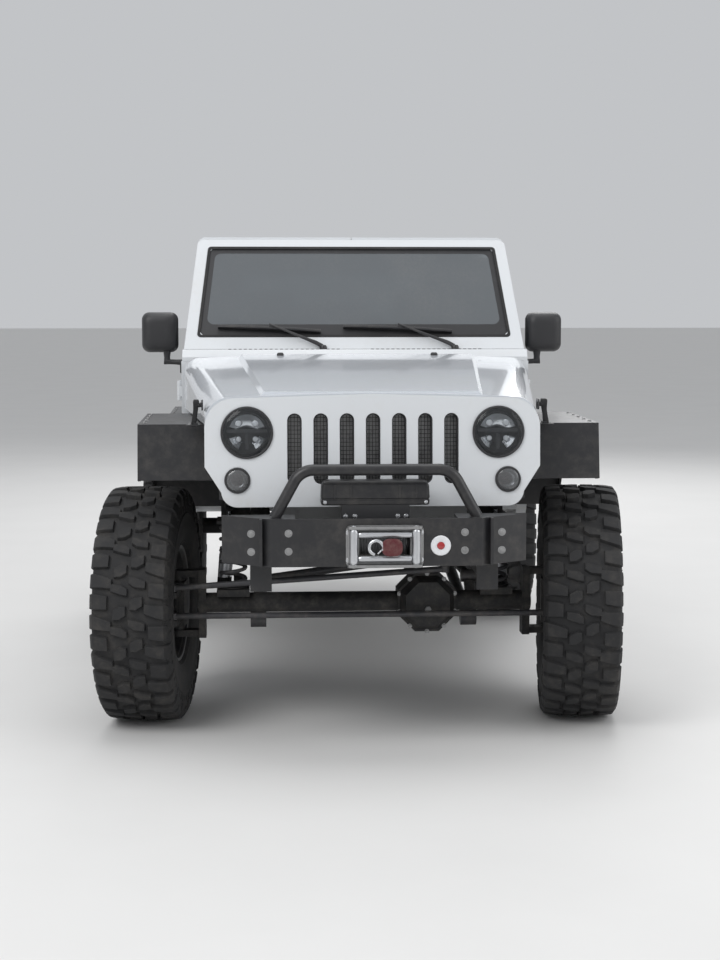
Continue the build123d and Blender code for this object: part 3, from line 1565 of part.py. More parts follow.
# Exhaust: pipe under the right side to a silencer behind the rear axle
with BuildPart() as exhaust:
    with BuildLine() as pipe:
        FilletPolyline(
            (-190, front_y + 400, 780 - seat_gap),
            (-190, front_y + 400, 690),
            (-228, front_y + 900, 662),
            (-228, rear_y - 200, 662),
            (-250, rear_y + 360, 662),
            radius=60,
        )
    with BuildSketch(Plane(origin=pipe.line @ 0, z_dir=pipe.line % 0)):
        Circle(28)
    sweep(path=pipe.line)
    with BuildSketch(Plane.YZ.offset(-330)):
        with Locations((rear_y + 405, 662)):
            SlotOverall(190, 120)
    extrude(amount=560)
exhaust.part.label = "exhaust"
export_step(exhaust.part, "parts/exhaust.step")

# Fuel tank in its skid between the rails on the left
with BuildPart() as fuel_tank:
    tank_low, tank_high = 525, floor_z - seat_gap
    with Locations((222, front_y + 1630, (tank_low + tank_high) / 2)):
        Box(280, 640, tank_high - tank_low)
    fillet(fuel_tank.edges().filter_by(Axis.Y), 40)
fuel_tank.part.label = "fuel_tank"
export_step(fuel_tank.part, "parts/fuel_tank.step")

# Tail lamps on the rear corners
with BuildPart() as tail_lamps:
    for side in (1, -1):
        with Locations((side * (body_half - 58), front_y + tub_rear + 22 + seat_gap, 1090)):
            Box(92, 44, 215)
    fillet(tail_lamps.edges().filter_by(Axis.Y), 14)
tail_lamps.part.label = "tail_lamps"
export_step(tail_lamps.part, "parts/tail_lamps.step")

# Tailgate hinged on the right, with the carrier that holds the spare wheel
gate_low = 800
gate_top = belt_z - panel_gap
spare_gap = 60
spare_face = spare_y + hub_back - seat_gap - front_y - tub_rear
with BuildPart() as tailgate:
    with BuildSketch(Plane.XZ.offset(-front_y - tub_rear)):
        with Locations((0, (gate_low + gate_top) / 2)):
            RectangleRounded(2 * tailgate_half, gate_top - gate_low, 24)
    extrude(amount=wall_t)
    with BuildSketch(Plane.XZ.offset(-front_y - tub_rear)):
        with Locations((0, spare_z - 60)):
            RectangleRounded(360, 360, 40)
    extrude(amount=-spare_gap)
    with BuildSketch(Plane.XZ.offset(-front_y - tub_rear - spare_gap)):
        with Locations((0, spare_z)):
            Circle(66)
    extrude(amount=-(spare_face - spare_gap))
    for z in gate_hinge_rows:
        for end in (1, -1):
            ear_z = z + end * (knuckle_h / 2 + 10 + seat_gap)
            with Locations((gate_hinge_x, front_y + gate_hinge_y, ear_z)):
                Cylinder(hinge_r, 20)
            with Locations((gate_hinge_x + 45, front_y + tub_rear + 4, ear_z)):
                Box(80, 8, 20)
            with Locations((gate_hinge_x + 5, front_y + tub_rear + 8, ear_z)):
                Box(10, 14, 20)
tailgate.part.label = "tailgate"
export_step(tailgate.part, "parts/tailgate.step")
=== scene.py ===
import math
import bpy
import bmesh
from mathutils import Matrix, Vector


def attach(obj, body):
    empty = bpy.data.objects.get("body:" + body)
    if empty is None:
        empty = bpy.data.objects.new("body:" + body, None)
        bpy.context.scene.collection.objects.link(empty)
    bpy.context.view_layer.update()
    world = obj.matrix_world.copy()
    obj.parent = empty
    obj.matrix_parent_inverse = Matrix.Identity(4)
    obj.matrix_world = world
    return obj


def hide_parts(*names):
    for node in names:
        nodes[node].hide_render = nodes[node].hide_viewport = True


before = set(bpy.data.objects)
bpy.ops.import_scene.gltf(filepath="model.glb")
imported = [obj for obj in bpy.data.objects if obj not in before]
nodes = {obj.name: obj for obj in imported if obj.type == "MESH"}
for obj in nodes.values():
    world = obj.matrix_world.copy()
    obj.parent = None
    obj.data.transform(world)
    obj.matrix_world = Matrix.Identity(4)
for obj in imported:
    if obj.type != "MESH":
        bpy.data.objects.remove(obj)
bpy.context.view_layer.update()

# Places of the car in metres, the same as in the model
WHEELBASE = 2.424
FRONT = 0.8 - (0.8 + WHEELBASE + 1.1) / 2
REAR = FRONT + WHEELBASE
TYRE_R = 0.47
WHEEL_X = 0.87
KING_X = 0.75
STEER = math.radians(-7)
GRILLE_LEAN = math.radians(3.4)
GRILLE = Vector((0, FRONT - 0.545, 0.92))
SCREEN_LEAN = math.radians(29)
SCREEN = Vector((0, FRONT + 0.68, 1.47))
SIDE_LEAN = 0.118
BODY_HALF = 0.757
BELT = 1.42
BUMPER = FRONT - 0.745
WINCH = Vector((0, FRONT - 0.672, 0.8))
HINGES_Z, LEAF_HALF = (0.9, 1.29), 0.033
X_AXIS, Y_AXIS, Z_AXIS = Vector((1, 0, 0)), Vector((0, 1, 0)), Vector((0, 0, 1))


def along(a):
    """Place along the car of a distance behind the front axle."""
    return FRONT + a


def table(width, *values):
    """Rows of so many lengths in metres, from a run of millimetres."""
    metres = iter([value / 1000 for value in values])
    return list(zip(*[metres] * width))


def pairs(*values):
    """Pairs of lengths in metres, from a run of millimetres."""
    return table(2, *values)


# Materials

ROAD_DUST, CHASSIS_DUST, TYRE_DUST = (0.5, 0.44, 0.36), (0.3, 0.27, 0.23), (0.11, 0.1, 0.088)


class Wire:
    """One output of a material's nodes; arithmetic on it adds Math nodes."""

    def __init__(self, finish, socket):
        self.finish, self.socket = finish, socket

    def maths(self, operation, *values):
        return self.finish.node("ShaderNodeMath", {"operation": operation}, dict(enumerate(values)))

    def __add__(self, other):
        return self.maths("ADD", self, other)

    def __sub__(self, other):
        return self.maths("SUBTRACT", self, other)

    def __mul__(self, other):
        return self.maths("MULTIPLY", self, other)

    def __rsub__(self, other):
        return self.maths("SUBTRACT", other, self)

    __radd__ = __add__

    def least(self, other):
        return self.maths("MINIMUM", self, other)

    def most(self, other):
        return self.maths("MAXIMUM", self, other)

    def step(self, low, high):
        """0 below low, 1 above high, and a smooth rise between them."""
        return self.finish.node(
            "ShaderNodeMapRange",
            {"interpolation_type": "SMOOTHSTEP"},
            {"Value": self, "From Min": low, "From Max": high},
        )


class Finish:
    """A material, made from a Principled shader and the nodes that feed it."""

    def __init__(self, name):
        self.material = bpy.data.materials.new(name)
        self.material.use_nodes = True
        self.tree = self.material.node_tree
        self.shader = self.tree.nodes["Principled BSDF"]
        self.out = self.tree.nodes["Material Output"]
        self.place = self.node("ShaderNodeTexCoord", {}, {}, "Object")

    def node(self, kind, settings, inputs, output=0):
        made = self.tree.nodes.new(kind)
        for name, value in settings.items():
            setattr(made, name, value)
        for name, value in inputs.items():
            self.feed(made.inputs[name], value)
        return Wire(self, made.outputs[output])

    def feed(self, socket, value):
        if isinstance(value, Wire):
            self.tree.links.new(value.socket, socket)
        elif isinstance(value, tuple) and len(value) == 3 and socket.type == "RGBA":
            socket.default_value = (*value, 1)
        else:
            socket.default_value = value

    def set(self, **values):
        """Sets the shader's own sockets; an underscore stands for a space in a socket's name."""
        for name, value in values.items():
            self.feed(self.shader.inputs[name.replace("_", " ")], value)
        return self

    def noise(self, scale, detail=4.0, rough=0.55, stretch=None):
        place = self.place if stretch is None else self.scaled(stretch)
        inputs = {"Vector": place, "Scale": scale, "Detail": detail, "Roughness": rough}
        return self.node("ShaderNodeTexNoise", {}, inputs, "Fac")

    def scaled(self, stretch):
        return self.node("ShaderNodeVectorMath", {"operation": "MULTIPLY"}, {0: self.place, 1: stretch})

    def cells(self, scale):
        return self.node("ShaderNodeTexVoronoi", {}, {"Vector": self.place, "Scale": scale}, "Distance")

    def height(self):
        return self.node("ShaderNodeSeparateXYZ", {}, {"Vector": self.place}, "Z")

    def mix(self, factor, one, other):
        """A colour between two, by a factor."""
        made = self.tree.nodes.new("ShaderNodeMix")
        made.data_type = "RGBA"
        self.feed(made.inputs[0], factor)
        self.feed(made.inputs[6], one)
        self.feed(made.inputs[7], other)
        return Wire(self, made.outputs[2])

    def worn_edge(self):
        """Lighter where the surface bends sharply, as paint wears there."""
        bent = self.node("ShaderNodeBevel", {"samples": 4}, {"Radius": 0.004})
        flat = self.node("ShaderNodeNewGeometry", {}, {}, "Normal")
        inputs = {0: bent, 1: flat}
        dot = self.node("ShaderNodeVectorMath", {"operation": "DOT_PRODUCT"}, inputs, "Value")
        return (1 - dot).step(0.02, 0.25)

    def bump(self, height, strength=0.3, distance=0.001, edge=0.0):
        inputs = {"Height": height, "Strength": strength, "Distance": distance}
        if edge:
            inputs["Normal"] = self.node("ShaderNodeBevel", {"samples": 4}, {"Radius": edge})
        return self.set(Normal=self.node("ShaderNodeBump", {}, inputs))


def painted(name, colour, amount=0.35, rough=0.22, coat=1.0):
    """Car paint with a clear coat, uneven road dust that is thicker low down, and soft edges."""
    made = Finish(name)
    cloud = made.noise(2.2, 5.0)
    film = made.noise(38.0, 6.0, 0.7)
    low = 1 - made.height().step(0.55, 1.25)
    mask = (cloud * 0.5 + film * 0.5).step(0.46, 0.78) * (0.18 + low * amount)
    made.set(
        Base_Color=made.mix(mask, colour, ROAD_DUST),
        Roughness=rough + mask * 0.08,
        Coat_Weight=coat,
        Coat_Roughness=0.06,
    )
    return made.bump(made.noise(420.0, 2.0), 0.05, 0.0002, 0.003)


def coated(name, colour, rough=0.42, amount=0.25, grain=700.0, metal=0.0):
    """Powder coat or dull chassis paint with a fine grain, dust and lighter worn edges."""
    made = Finish(name)
    film = made.noise(24.0, 6.0, 0.7)
    cloud = made.noise(3.5, 4.0)
    mask = (film * 0.6 + cloud * 0.4).step(0.42, 0.75) * amount
    pale = tuple(min(1, c * 2.2 + 0.03) for c in colour)
    worn = made.worn_edge() * film.step(0.4, 0.7) * 0.5
    made.set(
        Base_Color=made.mix(worn, made.mix(mask, colour, CHASSIS_DUST), pale),
        Roughness=rough + film * 0.16 + mask * 0.3,
        Metallic=metal,
    )
    return made.bump(made.noise(grain, 3.0), 0.12, 0.0004, 0.002)


def metallic(name, colour, rough=0.28, streak=(1, 1, 1), grime=0.3):
    """Bare or plated metal: fine streaks in its roughness and darker grime in random patches."""
    made = Finish(name)
    lines = made.noise(260.0, 3.0, 0.6, streak)
    cloud = made.noise(30.0, 5.0, 0.65)
    dark = tuple(c * 0.35 for c in colour)
    mask = cloud.step(0.5, 0.8) * grime
    made.set(
        Base_Color=made.mix(mask, colour, dark),
        Metallic=1.0,
        Roughness=rough + lines * 0.14 + mask * 0.3,
    )
    return made.bump(lines, 0.05, 0.0002, 0.0015)


def moulded(name, colour, rough=0.5):
    """Moulded plastic with a leathery grain and faint scuffs."""
    made = Finish(name)
    pebbles = made.cells(380.0)
    scuff = made.noise(16.0, 6.0, 0.7)
    pale = tuple(min(1, c * 1.6 + 0.015) for c in colour)
    made.set(
        Base_Color=made.mix(scuff.step(0.5, 0.85) * 0.5, colour, pale),
        Roughness=rough + scuff * 0.15,
    )
    return made.bump(pebbles, 0.25, 0.0005, 0.0015)


def rubbery(name, colour, amount):
    """Tyre or seal rubber, greyed by dust, with fine pits and flow lines."""
    made = Finish(name)
    film = made.noise(30.0, 6.0, 0.72)
    cloud = made.noise(6.0, 4.0)
    mask = (film * 0.55 + cloud * 0.45).step(0.44, 0.74) * amount
    made.set(Base_Color=made.mix(mask, colour, TYRE_DUST), Roughness=0.72 + film * 0.2)
    return made.bump(made.noise(520.0, 4.0, 0.7), 0.25, 0.0006, 0.0012)


def glazed(name, tint, deep, clear):
    """Glass: a clear tinted sheet under a glossy skin that mirrors more at a glancing view."""
    made = Finish(name)
    smear = made.noise(3.0, 5.0, 0.6)
    film = made.noise(90.0, 5.0, 0.7)
    mask = (smear * 0.6 + film * 0.4).step(0.45, 0.8)
    made.set(
        Base_Color=made.mix(mask * 0.3, deep, (0.34, 0.33, 0.31)),
        Roughness=0.02 + mask * 0.05,
        Coat_Weight=1.0,
        Coat_Roughness=0.01,
    )
    facing = made.node("ShaderNodeLayerWeight", {}, {"Blend": 0.28}, "Fresnel")
    factor = (facing * 0.75 + (1 - clear) + mask * 0.05).least(1.0)
    through = made.node("ShaderNodeBsdfTransparent", {}, {"Color": tint})
    both = made.tree.nodes.new("ShaderNodeMixShader")
    made.feed(both.inputs[0], factor)
    made.feed(both.inputs[1], through)
    made.feed(both.inputs[2], Wire(made, made.shader.outputs[0]))
    made.feed(made.out.inputs["Surface"], Wire(made, both.outputs[0]))
    return made


def woven(name, colour, thread=(0.12, 0.12, 0.13), scale=420.0):
    """Cloth: crossed threads in colour and bump, with a soft sheen and pilling."""
    made = Finish(name)
    waves = [
        made.node(
            "ShaderNodeTexWave",
            {"bands_direction": axis},
            {"Vector": made.place, "Scale": scale, "Distortion": 0.6, "Detail": 1.0},
            "Fac",
        )
        for axis in ("X", "Y", "Z")
    ]
    weave = (waves[0] * waves[1]).most(waves[1] * waves[2]).most(waves[0] * waves[2])
    pile = made.noise(55.0, 5.0, 0.7)
    made.set(
        Base_Color=made.mix(weave * 0.5 + pile * 0.15, colour, thread),
        Roughness=0.85 + pile * 0.1,
        Sheen_Weight=0.25,
    )
    return made.bump(weave, 0.35, 0.0006)


def cast(name, colour):
    """Sand-cast alloy or iron, pitted and oily in patches."""
    made = Finish(name)
    pits = made.noise(160.0, 6.0, 0.75)
    oil = made.noise(7.0, 5.0)
    mask = oil.step(0.5, 0.72) * 0.7
    dark = tuple(c * 0.3 for c in colour)
    made.set(
        Base_Color=made.mix(mask, colour, dark),
        Metallic=0.8,
        Roughness=0.55 + pits * 0.2 - mask * 0.2,
    )
    return made.bump(pits, 0.4, 0.001, 0.003)


FINISHES = {
    "body_paint": painted("white_paint", (0.66, 0.68, 0.7)),
    # Painted shade: the hood's white is a cooler, slightly darker copy of the body paint, standing in for
    # the light on its top; it also has less dust.
    "hood_paint_shaded": painted("hood_paint_shaded", (0.64, 0.67, 0.71), amount=0.1),
    "satin_black": coated("satin_black", (0.018, 0.018, 0.02), rough=0.3, amount=0.12),
    "grained_black": moulded("grained_black", (0.022, 0.022, 0.024), rough=0.42),
    "frame_black": coated("frame_black", (0.014, 0.014, 0.015), rough=0.55, amount=0.28),
    "engine_metal": cast("engine_metal", (0.28, 0.28, 0.28)),
    "steering_steel": coated("steering_steel", (0.055, 0.055, 0.06), rough=0.4, amount=0.35, metal=0.3),
    "spring_steel": coated("spring_steel", (0.05, 0.05, 0.055), rough=0.38, amount=0.3),
    "bright_steel": metallic("bright_steel", (0.66, 0.67, 0.69), rough=0.2),
    "shock_silver": metallic(
        "shock_silver", (0.62, 0.63, 0.65), rough=0.3, streak=(1, 1, 14), grime=0.15,
    ),
    "dull_steel": metallic("dull_steel", (0.36, 0.36, 0.36), rough=0.4, grime=0.5),
    "clear_glass": glazed("clear_glass", (0.55, 0.6, 0.6), (0.1, 0.115, 0.125), clear=0.62),
    "screen_glass": glazed("screen_glass", (0.5, 0.54, 0.55), (0.28, 0.3, 0.32), clear=0.6),
    "lamp_glass": glazed("lamp_glass", (0.93, 0.95, 0.97), (0.16, 0.17, 0.18), clear=0.86),
    "smoke_lens": glazed("smoke_lens", (0.55, 0.56, 0.58), (0.2, 0.205, 0.21), clear=0.55),
    "red_lens": painted("red_lens", (0.36, 0.008, 0.01), amount=0.08, rough=0.12),
    "white_lens": painted("white_lens", (0.75, 0.76, 0.78), amount=0.05, rough=0.12),
    "tyre_rubber": rubbery("tyre_rubber", (0.018, 0.018, 0.019), 0.42),
    "seal_rubber": rubbery("seal_rubber", (0.016, 0.016, 0.017), 0.25),
    "wheel_black": coated("wheel_black", (0.022, 0.022, 0.024), rough=0.32, amount=0.3),
    "seat_cloth": woven("seat_cloth", (0.028, 0.028, 0.031)),
    "cabin_plastic": moulded("cabin_plastic", (0.04, 0.04, 0.044), rough=0.55),
    "floor_paint": coated("floor_carpet", (0.055, 0.055, 0.056), rough=0.85, grain=180.0, amount=0.4),
    "rope_grey": woven("rope_grey", (0.1, 0.1, 0.105), (0.32, 0.32, 0.33), 900.0),
    "hook_red": painted("hook_red", (0.085, 0.004, 0.009), amount=0.06, rough=0.5, coat=0.1),
    "lamp_bright": metallic("lamp_bright", (0.86, 0.88, 0.9), rough=0.08, grime=0.0),
    "mirror_glass": metallic("mirror_glass", (0.72, 0.76, 0.8), rough=0.02, grime=0.0),
}


# Shaping


def facing(origin, way, roll=0.0):
    """Placing matrix whose own z runs along way from origin."""
    way = Vector(way).normalized()
    side = Z_AXIS.cross(way) if abs(way.z) < 0.99 else X_AXIS.copy()
    side.normalize()
    up = way.cross(side)
    turn = Matrix((side, up, way)).transposed().to_4x4()
    return Matrix.Translation(origin) @ turn @ Matrix.Rotation(roll, 4, "Z")


def rounded(width, height, radius, steps=5):
    """Outline of a rectangle with rounded corners, centred, in a plane."""
    w, h = width / 2 - radius, height / 2 - radius
    outline = []
    for quarter, (cx, cy) in enumerate(((w, h), (-w, h), (-w, -h), (w, -h))):
        for i in range(steps + 1):
            a = (quarter + i / steps) * math.pi / 2
            outline.append((cx + radius * math.cos(a), cy + radius * math.sin(a)))
    return outline


def moved(x=0.0, y=0.0, z=0.0):
    """Placing matrix that only moves."""
    return Matrix.Translation((x, y, z))


def ring(radius, steps):
    """Points of a circle in a plane."""
    turns = [2 * math.pi * i / steps for i in range(steps)]
    return [(radius * math.cos(a), radius * math.sin(a)) for a in turns]


def smoothed(points):
    """A smooth run through control points, straight into its first and last."""
    spans = [Vector(p) for p in points]
    spans = [2 * spans[0] - spans[1], *spans, 2 * spans[-1] - spans[-2]]
    path = []
    for a, b, c, d in zip(spans, spans[1:], spans[2:], spans[3:]):
        square, cube = 2 * a - 5 * b + 4 * c - d, 3 * b - a - 3 * c + d
        for t in (i / 6 for i in range(6)):
            path.append(0.5 * (2 * b + (c - a) * t + square * t**2 + cube * t**3))
    return [*path, spans[-2]]


class Form:
    """A mesh being made: its points, its faces and each face's finish."""

    def __init__(self):
        self.points, self.faces, self.looks = [], [], []

    def add(self, points, faces, look=0, place=None):
        base = len(self.points)
        place = place or Matrix()
        self.points += [place @ Vector(p) for p in points]
        self.faces += [tuple(base + i for i in face) for face in faces]
        self.looks += [look] * len(faces)
        return self

    def skin(self, rows, look=0, closed=True, capped=True, place=None):
        """Surface over rows of points; closed joins each row's ends, capped fills the end rows."""
        n = len(rows[0])
        faces = []
        for r in range(len(rows) - 1):
            for i in range(n if closed else n - 1):
                j = (i + 1) % n
                faces.append((r * n + i, r * n + j, (r + 1) * n + j, (r + 1) * n + i))
        if capped:
            last = (len(rows) - 1) * n
            faces += [tuple(reversed(range(n))), tuple(last + i for i in range(n))]
        return self.add([p for row in rows for p in row], faces, look, place)

    def lathe(self, profile, place, steps=40, look=0):
        """A profile of (radius, height) turned about the placed z axis."""
        turns = [2 * math.pi * i / steps for i in range(steps)]
        rows = [[(r * math.cos(a), r * math.sin(a), h) for a in turns] for r, h in profile]
        return self.skin(rows, look, True, False, place)

    def arc(self, section, place, start, end, steps=16, look=0):
        """A closed section of (radius, height) turned part of the way round."""
        rows = []
        for i in range(steps + 1):
            a = start + (end - start) * i / steps
            rows.append([(r * math.cos(a), r * math.sin(a), h) for r, h in section])
        return self.skin(rows, look, True, True, place)

    def rod(self, start, end, radius, steps=20, look=0, ease=0.0015):
        start, end = Vector(start), Vector(end)
        length = (end - start).length
        profile = [(0, 0), (radius - ease, 0), (radius, ease)]
        profile += [(radius, length - ease), (radius - ease, length), (0, length)]
        return self.lathe(profile, facing(start, end - start), steps, look)

    def tube(self, path, radius, steps=12, look=0):
        """A round bar along a path, without twist."""
        path = [Vector(p) for p in path]
        rows, side = [], None
        for i, point in enumerate(path):
            way = (path[min(i + 1, len(path) - 1)] - path[max(i - 1, 0)]).normalized()
            if side is None:
                side = way.orthogonal().normalized()
            side = (side - way * side.dot(way)).normalized()
            up = way.cross(side)
            rows.append([point + side * x + up * y for x, y in ring(radius, steps)])
        return self.skin(rows, look)

    def plate(self, outline, depth, place, look=0):
        """A flat outline given a depth along the placed z axis."""
        return self.skin([[(x, y, z) for x, y in outline] for z in (0, depth)], look, place=place)

    def stack(self, levels, size, radius, place, look=0, ease=0.0, steps=5):
        """Rounded outlines stacked along the placed z axis, each level a (height, inset) of the size."""
        rows = []
        for z, inset in levels:
            outline = rounded(size[0] - 2 * inset, size[1] - 2 * inset, radius - inset * ease, steps)
            rows.append([(x, y, z) for x, y in outline])
        return self.skin(rows, look, place=place)

    def limb(self, sections, radius, put, look=0, steps=3):
        """Rounded sections (station, width, depth), whose points put(station, u, v) sets in place."""
        rows = [[put(t, u, v) for u, v in rounded(w, d, radius, steps)] for t, w, d in sections]
        return self.skin(rows, look)

    def block(self, centre, size, look=0, turn=None):
        place = Matrix.Translation(centre) @ (turn or Matrix())
        w, d, h = size
        outline = [(-w / 2, -d / 2), (w / 2, -d / 2), (w / 2, d / 2), (-w / 2, d / 2)]
        return self.plate(outline, h, place @ Matrix.Translation((0, 0, -h / 2)), look)

    def band(self, outer, inner, depth, place, look=0):
        """A flat frame between two outlines with equal counts, given a depth."""
        turns = ((outer, 0), (outer, depth), (inner, depth), (inner, 0), (outer, 0))
        return self.skin([[(x, y, z) for x, y in edge] for edge, z in turns], look, True, False, place)

    def bolt(self, at, way, radius=0.008, look=0, height=0.006):
        """Hexagon head on its washer."""
        place = facing(at, way)
        foot, top = 0.0018, height + 0.0016
        self.lathe([(0, 0), (radius * 1.5, 0), (radius * 1.5, foot), (0, foot)], place, 20, look)
        head = [(0, foot), (radius, foot), (radius, height), (radius * 0.82, top), (0, top)]
        return self.lathe(head, place, 6, look)

    def mesh(self, name, sharp):
        """The mesh, with doubled points joined and its sharp edges marked."""
        data = bpy.data.meshes.new(name)
        data.from_pydata(self.points, [], self.faces)
        for polygon, look in zip(data.polygons, self.looks):
            polygon.material_index = look
        shape = bmesh.new()
        shape.from_mesh(data)
        bmesh.ops.remove_doubles(shape, verts=shape.verts, dist=1e-6)
        bmesh.ops.dissolve_degenerate(shape, dist=1e-6, edges=shape.edges)
        bmesh.ops.recalc_face_normals(shape, faces=shape.faces)
        for face in shape.faces:
            face.smooth = True
        for edge in shape.edges:
            edge.smooth = len(edge.link_faces) == 2 and edge.calc_face_angle() < sharp
        shape.to_mesh(data)
        shape.free()
        return data


def fit(
    form, name, finishes, edge=0.0, body="chassis", replaces=(), sharp=0.6, place=None, levels=0,
):
    """Puts a form or mesh in the scene as a piece: finishes, small rounded edges and its body."""
    data = form.mesh(name, sharp) if isinstance(form, Form) else form
    if not data.materials:
        for finish in finishes:
            data.materials.append(FINISHES[finish].material)
    piece = bpy.data.objects.new(name, data)
    bpy.context.scene.collection.objects.link(piece)
    if place is not None:
        piece.matrix_world = place
    if edge:
        bevel = piece.modifiers.new("edges", "BEVEL")
        bevel.width, bevel.segments, bevel.limit_method = edge, 2, "ANGLE"
        bevel.angle_limit = math.radians(36)
        bevel.harden_normals = True
    if levels:
        smooth = piece.modifiers.new("surface", "SUBSURF")
        smooth.levels = smooth.render_levels = levels
    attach(piece, body)
    if replaces:
        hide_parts(*replaces)
    return piece


# Finishes of the CAD nodes

CARRIED = {
    "body_paint": [
        "body_sides", "cowl", "grille", "windshield_frame", "roof_panels", "hardtop",
        "door_left", "door_right", "tailgate",
    ],
    "satin_black": ["fenders", "front_bumper", "rear_bumper"],
    "frame_black": [
        "frame_rails", "crossmembers", "front_axle", "rear_axle", "fuel_tank", "knuckle_left",
        "knuckle_right",
    ],
    "engine_metal": ["powertrain"],
    "dull_steel": ["exhaust", "radiator"],
    "steering_steel": ["tie_rod", "drag_link", "pitman_arm", "suspension_links", "driveshafts"],
    "clear_glass": ["door_glass_left", "door_glass_right"],
    "screen_glass": ["fixed_glass"],
    "cabin_plastic": ["dashboard"],
    "grained_black": ["roll_cage"],
    "floor_paint": ["floor_pan"],
    # The hood takes the copy of the white paint that carries the painted shade.
    "hood_paint_shaded": ["hood"],
}
for finish, names in CARRIED.items():
    for name in names:
        for row in nodes[name].material_slots:
            row.material = FINISHES[finish].material


# Wheels

CARCASS = pairs(
    216.3, 0, 216.3, 112, 232, 119, 240, 130, 247, 137.5, 252, 136, 262, 140, 290, 147.5, 320, 150,
    352, 150.5, 356, 152.5, 364, 152.5, 368, 150, 396, 149, 424, 145, 440, 140, 448, 130, 452, 100,
    453.5, 50, 454, 0,
)
# Lugs of one pitch: crown and foot paths of (across, radius), half-widths, skew and turn in pitches
LUGS = [
    (
        pairs(64, 469, 100, 468, 137, 462.5, 149.4, 444, 154.2, 404),
        pairs(62, 452, 100, 450, 133, 445, 140, 432, 145.5, 400),
        (0.017, 0.022, 0.026, 0.026, 0.017), (-0.03, -0.012, 0, 0, 0), 0.0,
    ),
    (
        pairs(80, 469, 110, 467, 137, 462, 149, 445, 151.2, 426),
        pairs(78, 451, 110, 449, 133, 445, 140, 432, 144, 422),
        (0.024, 0.027, 0.028, 0.027, 0.02), (-0.01, -0.004, 0, 0, 0), 0.5,
    ),
    (
        pairs(8, 470, 30, 470, 56, 469.5),
        pairs(6, 453, 30, 453, 58, 452),
        (0.015, 0.024, 0.017), (0.02, 0.005, -0.014), 0.22,
    ),
    (
        pairs(3, 470, 24, 470, 66, 469),
        pairs(1, 453, 24, 453, 68, 451.5),
        (0.012, 0.018, 0.013), (-0.008, 0.012, 0.03), 0.74,
    ),
]
PITCHES = 18


def tyre_mesh():
    """Mud tyre about its own centre: bulging carcass, side bands and open, hooked lugs."""
    form = Form()
    section = [(r, -x) for r, x in reversed(CARCASS[1:])] + CARCASS
    form.lathe(section, facing((0, 0, 0), X_AXIS), 76)
    for side in (1, -1):
        for pitch in range(PITCHES):
            for crown, foot, half, skew, turn in LUGS:
                middle = (pitch + turn + (0.25 if side < 0 else 0)) * 2 * math.pi / PITCHES
                rows = []
                for (x, r), (fx, fr), h, s in zip(crown, foot, half, skew):
                    row = []
                    for px, pr, angle in (
                        (fx, fr, -(h + 0.004) / fr),
                        (x, r, -h / r),
                        (x, r, h / r),
                        (fx, fr, (h + 0.004) / fr),
                    ):
                        a = middle + side * s + angle
                        row.append((side * px, pr * math.cos(a), pr * math.sin(a)))
                    rows.append(row)
                form.skin(rows)
        for rib in range(3 * PITCHES):
            a = rib * 2 * math.pi / (3 * PITCHES)
            place = Matrix.Rotation(a, 4, "X") @ moved(side * 0.15, 0.383, 0)
            form.block((0, 0, 0), (0.0035, 0.022, 0.004), 0, place)
    return form.mesh("tyre", 0.5)


BARREL = pairs(
    233.8, 125.5, 229, 126.2, 222.5, 122.5, 216, 113, 215.8, 90, 208, 78, 206, 0, 208, -78, 215.8, -90,
    216, -113, 222.5, -122.5, 233.8, -125.5, 229, -118, 213, -110, 209, -88, 201, -76, 199.5, 0, 201, 76,
    206, 98, 214, 113, 226.5, 117.5, 233.8, 125.5,
)
SPOKES = 5
NUT_RING = 0.0635


def rim_mesh(braked):
    """Deep-lipped rim: barrel, five split spokes, hub with five nuts and cap, valve, and brake disc."""
    form = Form()
    axle = facing((0, 0, 0), X_AXIS)
    form.lathe(BARREL, axle, 72)
    hub = pairs(28.5, -4, 74, -4, 76, 30, 78, 54, 70, 60, 50, 60)
    hub += pairs(44, 56, 40, 56, 28.5, 30)
    form.lathe(hub, axle, 48)
    form.lathe(pairs(39, 52, 38, 64, 34, 71.5, 0, 73.5), axle, 40, 1)
    for spoke in range(SPOKES):
        turn = Matrix.Rotation((spoke + 0.5) * 2 * math.pi / SPOKES, 4, "X")
        stations = table(
            5, 60, 30, 60, 30, 6, 84, 31, 64, 30, 13, 120, 34, 74, 26, 18, 160, 41, 85, 22, 20,
            190, 50, 91.5, 20, 16, 207, 60, 94, 20, 4,
        )
        rows = []
        for radius, half, face, thick, dip in stations:
            profile = [(-half, face - thick), (-half - 0.002, face - 0.004), (-half + 0.004, face)]
            profile += [(-half * 0.52, face), (-half * 0.36, face - dip), (half * 0.36, face - dip)]
            profile += [
                (half * 0.52, face), (half - 0.004, face), (half + 0.002, face - 0.004),
                (half, face - thick),
            ]
            rows.append([turn @ Vector((x, w, radius)) for w, x in profile])
        form.skin(rows)
        nut = turn @ Vector((0.058, 0, NUT_RING))
        form.lathe(pairs(0, 0, 12.5, 0, 12.5, 3, 0, 3), facing(nut, X_AXIS), 20, 1)
        head = pairs(0, 0, 10.5, 0, 10.5, 16, 8, 21, 0, 23)
        form.lathe(head, facing(nut, X_AXIS, spoke), 6, 1)
    form.rod((0.098, 0.0, 0.1985), (0.122, 0.0, 0.192), 0.0042, 12, 1)
    if braked:
        disc = pairs(160, -52, 160, -43, 152, -42.5, 152, -39.5, 160, -39)
        disc += pairs(160, -30, 92, -30, 88, -26, 74.5, -18, 74, -2, 60, -2)
        disc += pairs(60, -46, 90, -52, 160, -52)
        form.lathe(disc, axle, 56, 2)
    return form.mesh("rim", 0.5)


